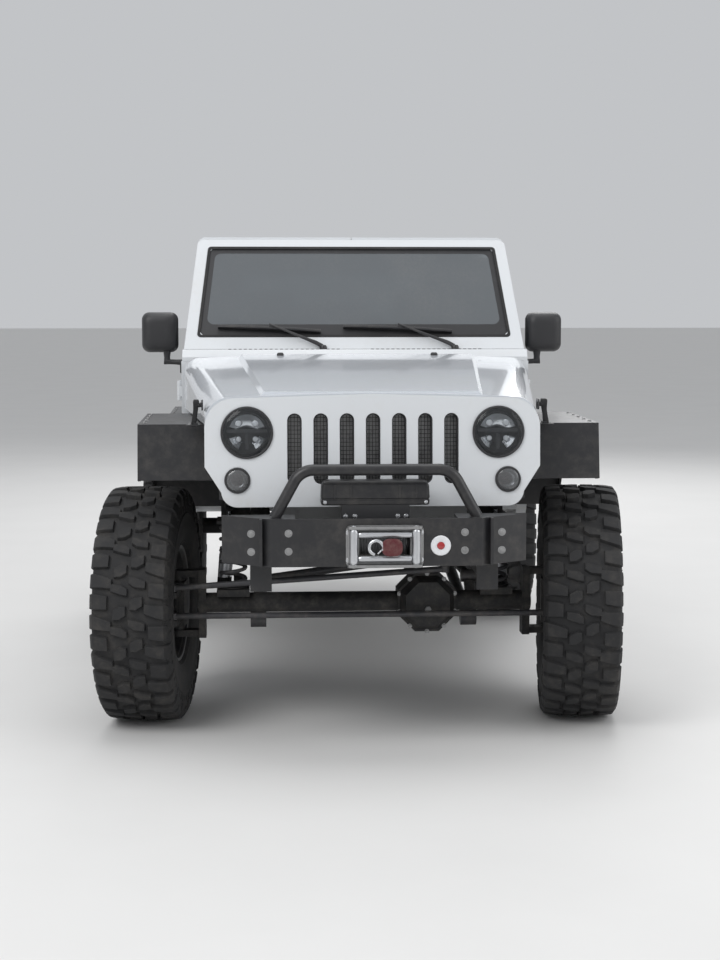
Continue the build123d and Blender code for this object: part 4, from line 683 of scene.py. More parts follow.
def wheel_place(side, axle, turn):
    """Where a wheel stands: its centre, its outer side outward, and steered about its kingpin."""
    king = Vector((side * KING_X, axle, 0))
    steer = Matrix.Translation(king) @ Matrix.Rotation(turn, 4, "Z") @ Matrix.Translation(-king)
    flip = Matrix.Rotation(0 if side > 0 else math.pi, 4, "Z")
    return steer @ moved(side * WHEEL_X, axle, TYRE_R) @ flip


RIM_LOOKS = ["wheel_black", "dull_steel", "bright_steel"]
LUG_EDGE, RIM_EDGE = 0.0022, 0.0012
tyre = tyre_mesh()
road_rim = rim_mesh(True)
for corner, side, axle, turn in (
    ("front_left", 1, FRONT, STEER),
    ("front_right", -1, FRONT, STEER),
    ("rear_left", 1, REAR, 0),
    ("rear_right", -1, REAR, 0),
):
    # Each mesh is turned to its wheel's place, so that its box is the true one
    body, place = f"wheel_{corner}", wheel_place(side, axle, turn)
    own_tyre, own_rim = tyre.copy(), road_rim.copy()
    own_tyre.transform(place)
    own_rim.transform(place)
    fit(
        own_tyre, f"mud_tyre_{corner}", ["tyre_rubber"], LUG_EDGE, body,
        [f"tyre_{corner}"],
    )
    fit(own_rim, f"wheel_rim_{corner}", RIM_LOOKS, RIM_EDGE, body, [f"rim_{corner}"])
spare = moved(0, REAR + 1.1 - 0.159, 1.212) @ Matrix.Rotation(math.pi / 2, 4, "Z")
fit(
    tyre, "mud_tyre_spare", ["tyre_rubber"], LUG_EDGE, "tailgate", ["spare_tyre"],
    place=spare,
)
fit(
    rim_mesh(False), "wheel_rim_spare", RIM_LOOKS, RIM_EDGE, "tailgate", ["spare_rim"],
    place=spare,
)


# Springs and shock absorbers


COIL_R, COIL_WIRE, COIL_LOW = 0.049, 0.0082, 0.5303
COIL_PAD = pairs(20, 0, 57, 0, 57, 6, 20, 6, 20, 0)


def coil(form, x, y, high, turns):
    """One coil spring with its dead end turns and rubber pads."""
    path = []
    steps = int(turns * 20)
    for i in range(steps + 1):
        t = i / steps
        rise = min(max((t - 0.06) / 0.88, 0), 1)
        a = turns * 2 * math.pi * t
        z = COIL_LOW + COIL_WIRE + (high - COIL_LOW - 2 * COIL_WIRE) * rise
        path.append((x + COIL_R * math.cos(a), y + COIL_R * math.sin(a), z))
    form.tube(path, COIL_WIRE, 10)
    for z in (COIL_LOW + 0.001, high - 0.007):
        form.lathe(COIL_PAD, moved(x, y, z), 32, 1)


springs = Form()
for side in (1, -1):
    coil(springs, side * 0.53, FRONT, 0.7977, 6.2)
    coil(springs, side * 0.42, REAR, 0.7097, 4.4)
fit(
    springs, "coil_spring_set", ["spring_steel", "seal_rubber"],
    replaces=["coil_springs"], sharp=0.9,
)

# Lower and upper eye of the left shock absorbers
SHOCKS = [
    ((0.575, along(0.112), 0.452), (0.545, along(0.112), 0.85)),
    ((0.54, REAR + 0.118, 0.44), (0.32, REAR + 0.1397, 0.76)),
]
# Radius and place along the reach: the tube's upper end, and the band round the tube
SHOCK_END = [
    (0.029, 0.5), (0.0265, 0.52), (0.0265, 0.545), (0.0285, 0.55), (0.0285, 0.575), (0.012, 0.58),
    (0, 0.58),
]
SHOCK_BAND = [(0.0292, 0.16), (0.0294, 0.165), (0.0294, 0.26), (0.0292, 0.265)]
EYE_HALF, BUSH_HALF = 0.0195, 0.02
EYE = [
    (0.0105, -EYE_HALF), (0.0215, -EYE_HALF), (0.0215, EYE_HALF), (0.0105, EYE_HALF), (0.0105, -EYE_HALF),
]
shocks = Form()
for low, high in SHOCKS:
    for side in (1, -1):
        a, b = Vector((side * low[0], *low[1:])), Vector((side * high[0], *high[1:]))
        way = (b - a).normalized()
        reach = (b - a).length
        tube = [(0, 0.03), (0.018, 0.03), (0.0285, 0.04)] + [(r, reach * t) for r, t in SHOCK_END]
        shocks.lathe(tube, facing(a, way), 32)
        shocks.lathe([(r, reach * t) for r, t in SHOCK_BAND], facing(a, way), 32, 3)
        shocks.rod(a + way * reach * 0.5, b, 0.0095, 20, 1)
        shocks.rod(a, a + way * 0.034, 0.01, 16, 2)
        for eye in (facing(a, Y_AXIS), facing(b, Y_AXIS)):
            shocks.lathe(EYE, eye, 28, 2)
            for radius, steps, look in ((0.0165, 24, 3), (0.008, 6, 1)):
                shocks.lathe(
                    [(0, -BUSH_HALF), (radius, -BUSH_HALF), (radius, BUSH_HALF), (0, BUSH_HALF)], eye,
                    steps, look,
                )
fit(
    shocks, "shock_absorber_set", ["shock_silver", "bright_steel", "frame_black", "seal_rubber"],
    0.0008, replaces=["shock_absorbers"],
)


# Lamps and grille

GRILLE_OUT = Vector((0, -math.cos(GRILLE_LEAN), math.sin(GRILLE_LEAN)))
GRILLE_UP = Vector((0, math.sin(GRILLE_LEAN), math.cos(GRILLE_LEAN)))


def on_grille(x, z, out=0.0):
    """A point on the grille's face, moved outward."""
    return GRILLE + X_AXIS * x + GRILLE_UP * (z - GRILLE.z) + GRILLE_OUT * out


def lamp_place(x, z, out=0.0):
    """Placing matrix on the grille's face, z outward and y up."""
    turn = Matrix((X_AXIS, GRILLE_UP, GRILLE_OUT)).transposed().to_4x4()
    return Matrix.Translation(on_grille(x, z, out)) @ turn


lamps = Form()
lenses = Form()
POCKET_OUT = 0.07
for side in (1, -1):
    seat = lamp_place(side * 0.469, 1.197)
    bowl = pairs(0, -78, 46, -78, 82, -50, 95.5, -36, 96.5, 3.5, 96, 7.5)
    bowl += pairs(90.5, 8.5, 86.5, 6, 84.5, -4, 80, -30, 44, -60, 0, -64)
    lamps.lathe(bowl, seat, 64)
    # Upper and lower reflector pockets, each a bright bowl inside the dark housing
    for start, end, inner in ((18, 162, 0.014), (198, 242, 0.04), (298, 342, 0.04)):
        pocket = [
            (inner, -0.034), (POCKET_OUT, -0.014), (0.073, -0.012), (0.073, -0.017), (inner, -0.038),
        ]
        lamps.arc(pocket, seat, math.radians(start), math.radians(end), 28, 1)
        rim = pairs(68, -14, 75, -8, 78, -10, 74, -18)
        lamps.arc(rim, seat, math.radians(start - 3), math.radians(end + 3), 28)
    lamps.plate(rounded(0.15, 0.013, 0.005), 0.008, seat @ moved(0, 0.006, -0.02))
    lamps.plate(rounded(0.013, 0.06, 0.005), 0.008, seat @ moved(0, -0.034, -0.022))
    for x in (-0.031, 0.031):
        for dy, r in ((0.034, 0.0125), (-0.024, 0.0105)):
            bulb = [(0.0, 0.0), (r, 0.0), (r, 0.004), (r * 0.8, 0.009), (0.0, 0.0125)]
            lamps.lathe(bulb, seat @ moved(x, dy, -0.026), 24, 2)
    dome = pairs(90, 6, 86, 9.2, 70, 13.5, 48, 17.5, 24, 20.5, 0, 21.5)
    lenses.lathe(dome, seat, 64)
    # Turn lamp under it
    seat = lamp_place(side * 0.505, 1.02)
    cup = pairs(0, -54, 22, -54, 40, -48, 47.5, -37, 47.8, 4, 46.5, 7.8)
    cup += pairs(41.5, 8.2, 39.5, 4, 38, -12, 26, -26, 0, -32)
    lamps.lathe(cup, seat, 48)
    lamps.lathe(pairs(38.5, -2, 34, -14, 18, -23, 0, -25), seat, 48, 1)
    lamps.lathe(pairs(0, -20, 9, -18, 11, -6, 0, 2), seat, 24, 3)
    lenses.lathe(pairs(41.5, 5.5, 38.5, 8.2, 26, 10.3, 12, 11.5, 0, 11.8), seat, 48, 1)
fit(
    lamps, "front_lamp_bodies", ["grained_black", "lamp_bright", "white_lens", "hook_red"],
    0.0008, replaces=["front_lamps"],
)
fit(lenses, "front_lamp_lenses", ["lamp_glass", "smoke_lens"], sharp=1.2)

# Liner with a wire screen in each of the seven slots
screens = Form()
SLOT_PITCH, SLOT_W, SLOT_LOW, SLOT_HIGH = 0.0975, 0.054, 1.005, 1.268
SLOT_END, WIRE, WIRE_DEPTH = 0.027, 0.0022, 0.003
slot_mid, tall = (SLOT_LOW + SLOT_HIGH) / 2, SLOT_HIGH - SLOT_LOW
outer = rounded(SLOT_W - 0.001, tall - 0.001, 0.0265, 8)
inner = rounded(SLOT_W - 0.009, tall - 0.009, 0.0225, 8)
for slot in range(-3, 4):
    seat = lamp_place(slot * SLOT_PITCH, slot_mid, -0.0445)
    screens.band(outer, inner, 0.034, seat)
    for i in range(1, 17):
        y = -tall / 2 + tall * i / 17
        w = SLOT_W / 2 - 0.004
        if abs(y) > tall / 2 - SLOT_END:
            w = math.sqrt(max(0.0231**2 - (abs(y) - (tall / 2 - SLOT_END)) ** 2, 1e-5))
        screens.block((0, 0, 0), (2 * w, WIRE, WIRE_DEPTH), 1, seat @ moved(0, y, 0.006))
    for i in (-1, 0, 1):
        screens.block((0, 0, 0), (WIRE, tall - 0.014, WIRE_DEPTH), 1, seat @ moved(i * 0.0125, 0, 0.006))
fit(screens, "grille_screens", ["grained_black", "frame_black"], 0.0006)

# Winch behind the bumper, its control box above, the fairlead, rope and hook in front
FAIRLEAD = Vector((0.028, BUMPER, WINCH.z))
ROLLERS_Y = BUMPER - 0.0203
HOOK_Y = ROLLERS_Y - 0.018
drum_z = WINCH.z + 0.004


def across(x, z, out=0.0, side=1):
    """Placing matrix at a point beside the winch, its z along the car's width."""
    return facing((x, WINCH.y + out, z), X_AXIS * side)


FLANGE_R, WRAP_R, TURNS, TURN_STEP = 0.0457, 0.0403, 21, 0.0104
winch = Form()
motor = pairs(0, 0, 36, 0, 44, 3, 49.5, 10)
for rib in range(7):
    z = 0.018 + rib * 0.0155
    motor += [(0.0495, z), (0.0515, z + 0.002), (0.0515, z + 0.007), (0.0495, z + 0.009)]
motor += pairs(49.5, 140, 40, 150, 0, 150)
winch.lathe(motor, across(-0.27, drum_z), 44)
gears = pairs(0, 0, 30, 0, 34, 4, 44, 6, 49, 12, 50, 40, 56, 48)
gears += pairs(57.5, 56, 57.5, 128, 55.5, 132, 55.5, 150, 0, 150)
winch.lathe(gears, across(0.27, drum_z, 0, -1), 44)
for i in range(8):
    a = (i + 0.5) * math.pi / 4
    at = (0.27 - 0.0475, WINCH.y + 0.051 * math.cos(a), drum_z + 0.051 * math.sin(a))
    winch.rod(at, (at[0] + 0.01, at[1], at[2]), 0.0036, 12, 3, 0.0006)
winch.rod((0.192, WINCH.y - 0.004, drum_z + 0.05), (0.192, WINCH.y - 0.01, drum_z + 0.066), 0.008, 20)
for side in (-1, 1):
    winch.rod((side * 0.1135, WINCH.y, drum_z), (side * 0.1185, WINCH.y, drum_z), FLANGE_R, 40)
winch.rod((-0.12, WINCH.y, drum_z), (0.12, WINCH.y, drum_z), 0.03, 30, 3)
wraps = []
for i in range(TURNS * 18 + 1):
    a = i * 2 * math.pi / 18
    x = -0.5 * TURNS * TURN_STEP + i * TURN_STEP / 18
    wraps.append((x, WINCH.y + WRAP_R * math.cos(a), drum_z + WRAP_R * math.sin(a)))
winch.tube(wraps, 0.0052, 8, 2)
plate_low, plate_high = 0.7313, 0.869
for side in (1, -1):
    outline = rounded(0.106, plate_high - plate_low, 0.012)
    seat = facing((side * 0.119, WINCH.y, (plate_low + plate_high) / 2), X_AXIS * side)
    winch.plate(outline, 0.014, seat)
    for dy, dz in pairs(-36, -50, 36, -50, -36, 50):
        winch.bolt((side * 0.1325, WINCH.y + dy, WINCH.z + dz), X_AXIS * side, 0.0052, 3, 0.0042)
for dy, dz in ((0.03, 0.062), (-0.034, 0.05)):
    winch.rod((-0.126, WINCH.y + dy, WINCH.z + dz), (0.126, WINCH.y + dy, WINCH.z + dz), 0.0078, 20, 3)
fit(
    winch, "winch_drum", ["satin_black", "grained_black", "rope_grey", "dull_steel"],
    0.001, replaces=["winch"], sharp=0.5,
)

# Control box: domed cover over a base tray, its ribs and its bracket
box = Form()
box_y, box_low = WINCH.y + 0.044, WINCH.z + 0.139
rows = []
for z, inset in pairs(0, 6, 4, 1, 18, 0, 20, 3, 24, 3, 26, 0, 70, 2, 82, 7, 89, 14, 92, 26):
    outline = rounded(0.4 - 2 * inset, 0.078 - 2 * inset, 0.014 - min(inset, 0.006) * 0.5)
    rows.append([(x, box_y + y, box_low + z) for x, y in outline])
box.skin(rows)
front = box_y - 0.039
for x in (-0.15, -0.09, 0.09, 0.15):
    box.plate(rounded(0.01, 0.05, 0.004), 0.0022, facing((x, front + 0.0008, box_low + 0.05), -Y_AXIS))
for x in (-0.185, 0.185):
    box.bolt((x, front + 0.0004, box_low + 0.012), -Y_AXIS, 0.0045, 3, 0.003)
box.block((0, WINCH.y + 0.022, WINCH.z + 0.098), (0.25, 0.03, 0.086), 1)
for x in (-0.11, -0.076, 0.082, 0.112):
    box.bolt((x, WINCH.y + 0.0068, WINCH.z + 0.098), -Y_AXIS, 0.0062, 3, 0.005)
fit(
    box, "winch_control_box", ["satin_black", "grained_black", "frame_black", "bright_steel"],
    0.0012, sharp=0.5,
)

# Roller fairlead: rounded plate, upright and level rollers between their brackets
fairlead = Form()
outer, inner = rounded(0.282, 0.152, 0.02), rounded(0.186, 0.1, 0.006)
plate_seat = facing(FAIRLEAD + Vector((0, -0.0003, 0)), -Y_AXIS)
fairlead.band(outer, inner, 0.006, plate_seat)
for end in (1, -1):
    low = FAIRLEAD.z + end * 0.07 - 0.005
    fairlead.plate(rounded(0.272, 0.034, 0.014), 0.01, moved(FAIRLEAD.x, ROLLERS_Y + 0.001, low))
    x = FAIRLEAD.x + end * 0.113
    low = FAIRLEAD.z - 0.0648
    roller = pairs(0, 0, 12.5, 0, 13.5, 3, 15.8, 8, 16, 12)
    roller += pairs(16, 117.6, 15.8, 121.6, 13.5, 126.6, 12.5, 129.6, 0, 129.6)
    fairlead.lathe(roller, moved(x, ROLLERS_Y, low), 32, 1)
    for tip in (1, -1):
        fairlead.bolt((x, ROLLERS_Y, FAIRLEAD.z + tip * 0.075), Z_AXIS * tip, 0.0058, 1, 0.0012)
    level = FAIRLEAD.z + end * 0.044
    roller = pairs(0, 0, 9.5, 0, 11.8, 6, 12, 10, 12, 182, 11.8, 186, 9.5, 192, 0, 192)
    fairlead.lathe(roller, facing((FAIRLEAD.x - 0.096, ROLLERS_Y, level), X_AXIS), 28, 1)
    for lift in (1, -1):
        fairlead.bolt(
            (x + end * 0.019, BUMPER - 0.0062, FAIRLEAD.z + lift * 0.05), -Y_AXIS, 0.0062, 2, 0.005,
        )
    fairlead.block((x + end * 0.018, ROLLERS_Y + 0.01, FAIRLEAD.z), (0.006, 0.008, 0.116))
fit(
    fairlead, "roller_fairlead", ["dull_steel", "shock_silver", "bright_steel"], 0.001,
    sharp=0.5,
)

# Rope end: red stopper and open hook with its latch
tackle = Form()
tackle.rod(
    (FAIRLEAD.x, WINCH.y - 0.046, FAIRLEAD.z), (FAIRLEAD.x, HOOK_Y + 0.001, FAIRLEAD.z), 0.005, 14, 2,
)
stopper_seat = facing((FAIRLEAD.x + 0.024, HOOK_Y, FAIRLEAD.z), -Y_AXIS)
levels = pairs(0, 3, 1.5, 0.6, 4, 0, 8, 0, 9.6, 1, 10.6, 4, 10.8, 9)
tackle.stack(levels, (0.076, 0.064), 0.026, stopper_seat, 1, 1)
tackle.lathe(pairs(12, 10.6, 13, 11.4, 17, 11.4, 18, 10.6), stopper_seat, 28, 1)
hook_at = Vector((FAIRLEAD.x - 0.034, HOOK_Y - 0.0045, FAIRLEAD.z))
path = []
for i in range(29):
    a = math.radians(-25 + 285 * i / 28)
    path.append(hook_at + Vector((0.025 * math.cos(a), 0, 0.025 * math.sin(a))))
tackle.tube(path, 0.0062, 14)
tackle.rod(hook_at + Vector((0.022, 0, 0.0)), hook_at + Vector((0.038, 0, 0.0)), 0.0062, 18)
tackle.rod(hook_at + Vector((0.03, -0.002, 0.012)), hook_at + Vector((0.03, -0.002, -0.012)), 0.0035, 14)
tackle.tube([hook_at + Vector((0.02, 0, -0.009)), hook_at + Vector((0.006, 0.001, -0.023))], 0.0026, 10)
fit(
    tackle, "winch_hook_and_stopper", ["bright_steel", "hook_red", "rope_grey"], 0.0006,
    sharp=0.7,
)

# Bumper: bolts in two rows on each wing and a round reflector
trim = Form()
for side in (1, -1):
    for x in (0.32, 0.455):
        for z in (0.848, 0.782):
            trim.bolt((side * x, BUMPER + 0.0006, z), -Y_AXIS, 0.0095, 1, 0.0065)
reflector = facing((0.232, BUMPER + 0.0004, 0.8), -Y_AXIS)
trim.lathe(pairs(0, 0, 37, 0, 37, 3, 34.5, 5.8, 21, 6.2, 19, 5, 0, 5), reflector, 48, 2)
trim.lathe(pairs(0, 4.8, 12, 5.4, 14.5, 6.2, 12, 7.2, 0, 7.8), reflector, 36, 3)
fit(
    trim, "bumper_bolts_and_reflector", ["frame_black", "dull_steel", "white_lens", "red_lens"],
    0.0006,
)

# Mirrors: rounded head on a short arm from a foot on the door, glass set in the rear face
MIRROR_A = 0.843
# Heights from the rear face and insets of the mirror's head
MIRROR_HEAD = pairs(6, 12.5, 0, 11, 0, 3, 2, 0.8, 6, 0, 26, 1.5, 48, 5, 62, 10, 71, 18, 75.5, 29, 77, 44)
for side, name in ((1, "left"), (-1, "right")):
    head = Form()
    centre = Vector((side * (BODY_HALF + 0.103), along(MIRROR_A + 0.035), BELT + 0.121))
    seat = facing(centre, -Y_AXIS)
    head.stack(MIRROR_HEAD, (0.162, 0.178), 0.034, seat, 0, 0.25, 7)
    head.plate(rounded(0.136, 0.152, 0.026, 7), 0.0015, seat @ moved(0, 0, 0.0052), 1)
    foot = Vector((side * BODY_HALF, along(MIRROR_A), BELT))
    arm = ((0, 0.044, 0.026), (0.3, 0.038, 0.022), (0.7, 0.034, 0.022), (1, 0.038, 0.026))
    head.limb(
        arm, 0.009, lambda t, u, v: foot + Vector((side * (0.006 + t * 0.078), u, v - 0.012 + 0.004 * t)),
    )
    neck = ((0, 0.03, 0.036), (0.5, 0.026, 0.03), (1, 0.034, 0.04))
    head.limb(neck, 0.01, lambda t, u, v: foot + Vector((side * 0.072 + u, v, t * 0.062 - 0.02)))
    foot_seat = facing(foot + Vector((side * 0.0005, 0, -0.03)), X_AXIS * side)
    head.plate(rounded(0.088, 0.058, 0.014, 4), 0.013, foot_seat)
    fit(
        head, f"door_mirror_{name}", ["grained_black", "mirror_glass"], 0.001,
        body=f"door_{name}", replaces=[f"mirror_{name}"], sharp=0.7,
    )

# Glass: a rubber seal round each fixed pane and a dark border on the windscreen
SCREEN_OUT = Vector((0, -math.cos(SCREEN_LEAN), math.sin(SCREEN_LEAN)))
SCREEN_UP = Vector((0, math.sin(SCREEN_LEAN), math.cos(SCREEN_LEAN)))
SCREEN_LOW, SCREEN_HIGH = 0.064, 0.511
SCREEN_FOOT, SCREEN_HEAD = 0.6865, 0.6403
TOP_LEAN = 0.045 / 0.546


def softened(corners, radius):
    """Outline of a polygon with its corners rounded, the same count of points at each."""
    outline = []
    corners = [Vector(corner) for corner in corners]
    for before, corner, after in zip(corners[-1:] + corners[:-1], corners, corners[1:] + corners[:1]):
        u, v = (before - corner).normalized(), (after - corner).normalized()
        half = u.angle(v) / 2
        centre = corner + (u + v).normalized() * radius / math.sin(half)
        start = corner + u * radius / math.tan(half) - centre
        end = corner + v * radius / math.tan(half) - centre
        for i in range(6):
            outline.append(tuple(centre + start.lerp(end, i / 5).normalized() * radius))
    return outline


def on_screen(x, up, out=0.0):
    """A point on the windscreen frame's front face, moved outward."""
    return SCREEN + X_AXIS * x + SCREEN_UP * up + SCREEN_OUT * out


def half_at(z):
    """Half the body's width at a height."""
    return BODY_HALF - SIDE_LEAN * max(z - BELT, 0)


def on_side(side, a, z, out=0.0):
    """A point on the body's leaning side, moved outward."""
    return Vector((side * (half_at(z) + out), along(a), z))


def on_back(x, z, out=0.0):
    """A point on the hard top's rear face, moved outward."""
    return Vector((x, along(3.108 - TOP_LEAN * (z - BELT) + out), z))


def surround(form, outer, inner, low, high, look=0):
    """A frame between two outlines of places, standing from a low to a high offset of them."""
    rows = [
        [p(low) for p in outer], [p(high) for p in outer], [p(high) for p in inner],
        [p(low) for p in inner],
    ]
    form.skin([*rows, rows[0]], look, True, False)


def screen_ring(inset_foot, inset_side, inset_head, radius):
    """Places round the windscreen opening, in from its edge."""
    slope = (SCREEN_FOOT - SCREEN_HEAD) / (SCREEN_HIGH - SCREEN_LOW)
    low, high = SCREEN_LOW + inset_foot, SCREEN_HIGH - inset_head
    foot = SCREEN_FOOT - inset_side - slope * inset_foot
    head = SCREEN_HEAD - inset_side + slope * inset_head
    outline = softened([(-foot, low), (foot, low), (head, high), (-head, high)], radius)
    return [lambda out, x=x, y=y: on_screen(x, y, out) for x, y in outline]


def side_ring(side, points, inset, radius):
    """Places round a side window, in from its corners' outline."""
    middle = sum((Vector(p) for p in points), Vector((0, 0))) / len(points)
    pulled = []
    for p in points:
        away = Vector(p) - middle
        pulled.append(Vector(p) - Vector((math.copysign(inset, away.x), math.copysign(inset, away.y))))
    return [lambda out, a=a, z=z: on_side(side, a, z, out) for a, z in softened(pulled, radius)]


glazing = Form()
surround(
    glazing, screen_ring(0.001, 0.001, 0.001, 0.012), screen_ring(0.062, 0.03, 0.026, 0.03), -0.006,
    -0.0056, 1,
)
surround(
    glazing, screen_ring(-0.005, -0.005, -0.005, 0.016), screen_ring(0.007, 0.007, 0.007, 0.01), -0.0055,
    0.0016, 0,
)
QUARTER = pairs(1850, 1500, 1850, 1830, 2930, 1830, 2960, 1500)
for side in (1, -1):
    surround(
        glazing, side_ring(side, QUARTER, -0.004, 0.048), side_ring(side, QUARTER, 0.009, 0.036), -0.006,
        0.0018, 0,
    )
BACK = pairs(-540, 1500, -508, 1830, 508, 1830, 540, 1500)
ring_outer = softened([(x * 1.008, z + math.copysign(0.004, z - 1.6)) for x, z in BACK], 0.048)
ring_inner = softened([(x * 0.984, z - math.copysign(0.009, z - 1.6)) for x, z in BACK], 0.036)
rings = [
    [lambda out, x=x, z=z: on_back(x, z, out) for x, z in outline]
    for outline in (ring_outer, ring_inner)
]
surround(glazing, *rings, -0.006, 0.0018, 0)
fit(glazing, "glass_seals", ["seal_rubber", "grained_black"])

DOOR_GLASS = pairs(813.7, 1448, 1027.7, 1834, 1648, 1834, 1648, 1448)
# Places along the door, standing out and widths of the door handle's paddle
HANDLE_GRIP = table(3, -70, 4, 24, -60, 13, 26, -30, 19, 27, 10, 20, 27, 40, 17, 26, 50, 4, 24)
for side, name in ((1, "left"), (-1, "right")):
    strips = Form()
    surround(
        strips, side_ring(side, DOOR_GLASS, -0.004, 0.026), side_ring(side, DOOR_GLASS, 0.008, 0.018),
        -0.0145, 0.0015, 0,
    )
    # Door handle: recessed dish, paddle and push button
    dish = facing((side * (BODY_HALF + 0.0002), along(1.585), 1.325), X_AXIS * side)
    strips.band(rounded(0.176, 0.074, 0.03, 6), rounded(0.15, 0.05, 0.022, 6), 0.0035, dish, 1)
    strips.plate(rounded(0.152, 0.052, 0.022, 6), 0.0008, dish, 2)
    strips.limb(
        [((x, depth), 0.008, w) for x, depth, w in HANDLE_GRIP], 0.0035,
        lambda t, u, v: dish @ Vector((t[0], v, t[1] + u)), 1,
    )
    strips.lathe(pairs(0, 0, 13.5, 0, 13.5, 12, 12, 14.5, 0, 15.2), dish @ moved(0.061, 0, 0), 28, 1)
    # Screws of the hinge leaves
    for z in HINGES_Z:
        for lift in (LEAF_HALF, -LEAF_HALF):
            for reach in (0.03, 0.066):
                at = (side * (BODY_HALF + 0.0082), along(0.711 + reach), z + lift)
                strips.bolt(at, X_AXIS * side, 0.0048, 3, 0.003)
    fit(
        strips, f"door_trim_{name}", ["seal_rubber", "grained_black", "satin_black", "dull_steel"],
        0.0008, body=f"door_{name}",
    )

# Wipers parked along the foot of the glass, their pivots on the cowl
WIPER_LIP = pairs(-1.4, -8, 1.4, -8, 3.4, 9, -3.4, 9)
ARM_BEND = 0.12
wipers = Form()
for pivot_x, reach in ((-0.14, 0.47), (0.44, 0.5)):
    pivot = Vector((pivot_x, along(0.676), SCREEN.z))
    wipers.lathe(pairs(0, 0, 16.5, 0, 16.5, 10, 12.5, 18, 0, 20), facing(pivot, Z_AXIS), 28)
    joint = pivot + Vector((-0.03, -0.002, 0.016))
    middle = on_screen(pivot_x - reach * 0.5, 0.098, 0.026)
    arm = []
    for t, w, d in (
        (0, 0.02, 0.01), (ARM_BEND, 0.02, 0.01), (0.3, 0.015, 0.008), (0.7, 0.011, 0.006),
        (1, 0.009, 0.005),
    ):
        if t <= ARM_BEND:
            spot = pivot.lerp(joint, t / ARM_BEND)
        else:
            spot = joint.lerp(middle, (t - ARM_BEND) / (1 - ARM_BEND))
        spot = spot + Vector((0, -0.006 * math.sin(math.pi * t), 0.012))
        arm.append([spot + SCREEN_UP * u + SCREEN_OUT * v for u, v in rounded(w, d, d * 0.3, 2)])
    wipers.skin(arm)
    start = on_screen(pivot_x - reach * 0.02, 0.082, 0.006)
    end = on_screen(pivot_x - reach * 0.98, 0.106, 0.006)
    rows, lip = [], []
    for i in range(13):
        t = i / 12
        spot = start.lerp(end, t)
        bow = 4 * t * (1 - t)
        high = 0.006 + 0.006 * bow
        rows.append(
            [
                spot + SCREEN_UP * u + SCREEN_OUT * (v + 0.004 + high)
                for u, v in rounded(0.012, high, 0.0018, 2)
            ]
        )
        lip.append([spot + SCREEN_UP * u + SCREEN_OUT * (v - 0.004) for u, v in WIPER_LIP])
    wipers.skin(rows)
    wipers.skin(lip, 1)
    wipers.rod(middle - SCREEN_OUT * 0.014, middle + SCREEN_OUT * 0.002, 0.0062, 16)
# Vent slots on the cowl
for side in (1, -1):
    for i in range(22):
        x = side * (0.075 + i * 0.0225)
        wipers.block((x, along(0.657), SCREEN.z + 0.0012), (0.0125, 0.026, 0.0022), 1)
fit(wipers, "wipers_and_vents", ["satin_black", "seal_rubber"], 0.0006)

# Hood fittings: washer nozzles and the catch of each rubber latch, whose base is on the fender
LATCH_Y = along(-0.395)
# Heights, places across, lengths and depths of the rubber strap with its T grip
LATCH_STRAP = table(
    4, 1212, 670, 30, 20, 1232, 668, 28, 19, 1252, 665, 24, 18, 1272, 662, 26, 18, 1284, 661, 34, 19,
    1294, 660, 44, 21, 1304, 660, 48, 22, 1312, 660, 42, 18,
)
hood_parts, latch_parts = Form(), Form()
for side in (1, -1):
    seat = moved(side * 0.33, along(0.505), 1.447)
    nozzle = table(3, 0, 30, 26, 6, 30, 26, 11, 26, 20, 14, 18, 10)
    hood_parts.limb(nozzle, 0.005, lambda z, u, v: seat @ Vector((u, v, z)))
    hood_parts.rod(
        seat @ Vector((0, 0.009, 0.007)), seat @ Vector((0, 0.014, 0.0085)), 0.003, 14, 1, 0.0005,
    )
    # Latch: cast catch on the skirt, rubber strap with its T grip, foot plate on the fender
    face = facing((side * 0.6345, LATCH_Y, 1.292), X_AXIS * side)
    hood_parts.plate(rounded(0.052, 0.04, 0.01, 4), 0.005, face)
    hood_parts.plate(rounded(0.032, 0.016, 0.005, 4), 0.016, face)
    hood_parts.plate(rounded(0.044, 0.012, 0.004, 3), 0.005, face @ moved(0, 0.002, 0.013))
    for x in (-0.019, 0.019):
        hood_parts.bolt(face @ Vector((x, 0.013, 0.005)), X_AXIS * side, 0.0042, 1, 0.003)
    latch_parts.limb(
        [((x, z), w, d) for z, x, w, d in LATCH_STRAP], 0.004,
        lambda t, u, v: Vector((side * t[0] + v, LATCH_Y + u, t[1])),
    )
    foot = moved(side * 0.672, LATCH_Y, 1.215)
    latch_parts.plate(rounded(0.052, 0.06, 0.01, 4), 0.004, foot, 1)
    latch_parts.block((side * 0.662, LATCH_Y, 1.22), (0.016, 0.044, 0.012), 1)
    for y in (-0.021, 0.021):
        latch_parts.bolt(foot @ Vector((side * 0.012, y, 0.004)), Z_AXIS, 0.0048, 2, 0.003)
fit(
    hood_parts, "hood_nozzles_and_catches", ["grained_black", "dull_steel"], 0.0008,
    body="hood",
)
fit(
    latch_parts, "hood_latch_straps", ["seal_rubber", "grained_black", "dull_steel"],
    0.0008,
)

# Fender bolts along the tops and a side marker on each front fender
fenders = Form()
for side in (1, -1):
    for a in (-0.25, -0.13, -0.01, 0.11, 0.23):
        fenders.bolt((side * 0.865, along(a), 1.215), Z_AXIS, 0.0058, 0, 0.004)
    for a in (2.11, 2.25, 2.39, 2.53, 2.67):
        fenders.bolt((side * 0.868, along(a), 1.0925), Z_AXIS, 0.005, 0, 0.003)
    marker = facing((side * 0.8852, along(-0.24), 1.15), X_AXIS * side)
    fenders.plate(rounded(0.074, 0.03, 0.01, 4), 0.003, marker, 1)
    fenders.plate(rounded(0.06, 0.018, 0.006, 4), 0.0048, marker, 2)
fit(
    fenders, "fender_bolts_and_markers", ["dull_steel", "grained_black", "smoke_lens"],
    0.0006,
)

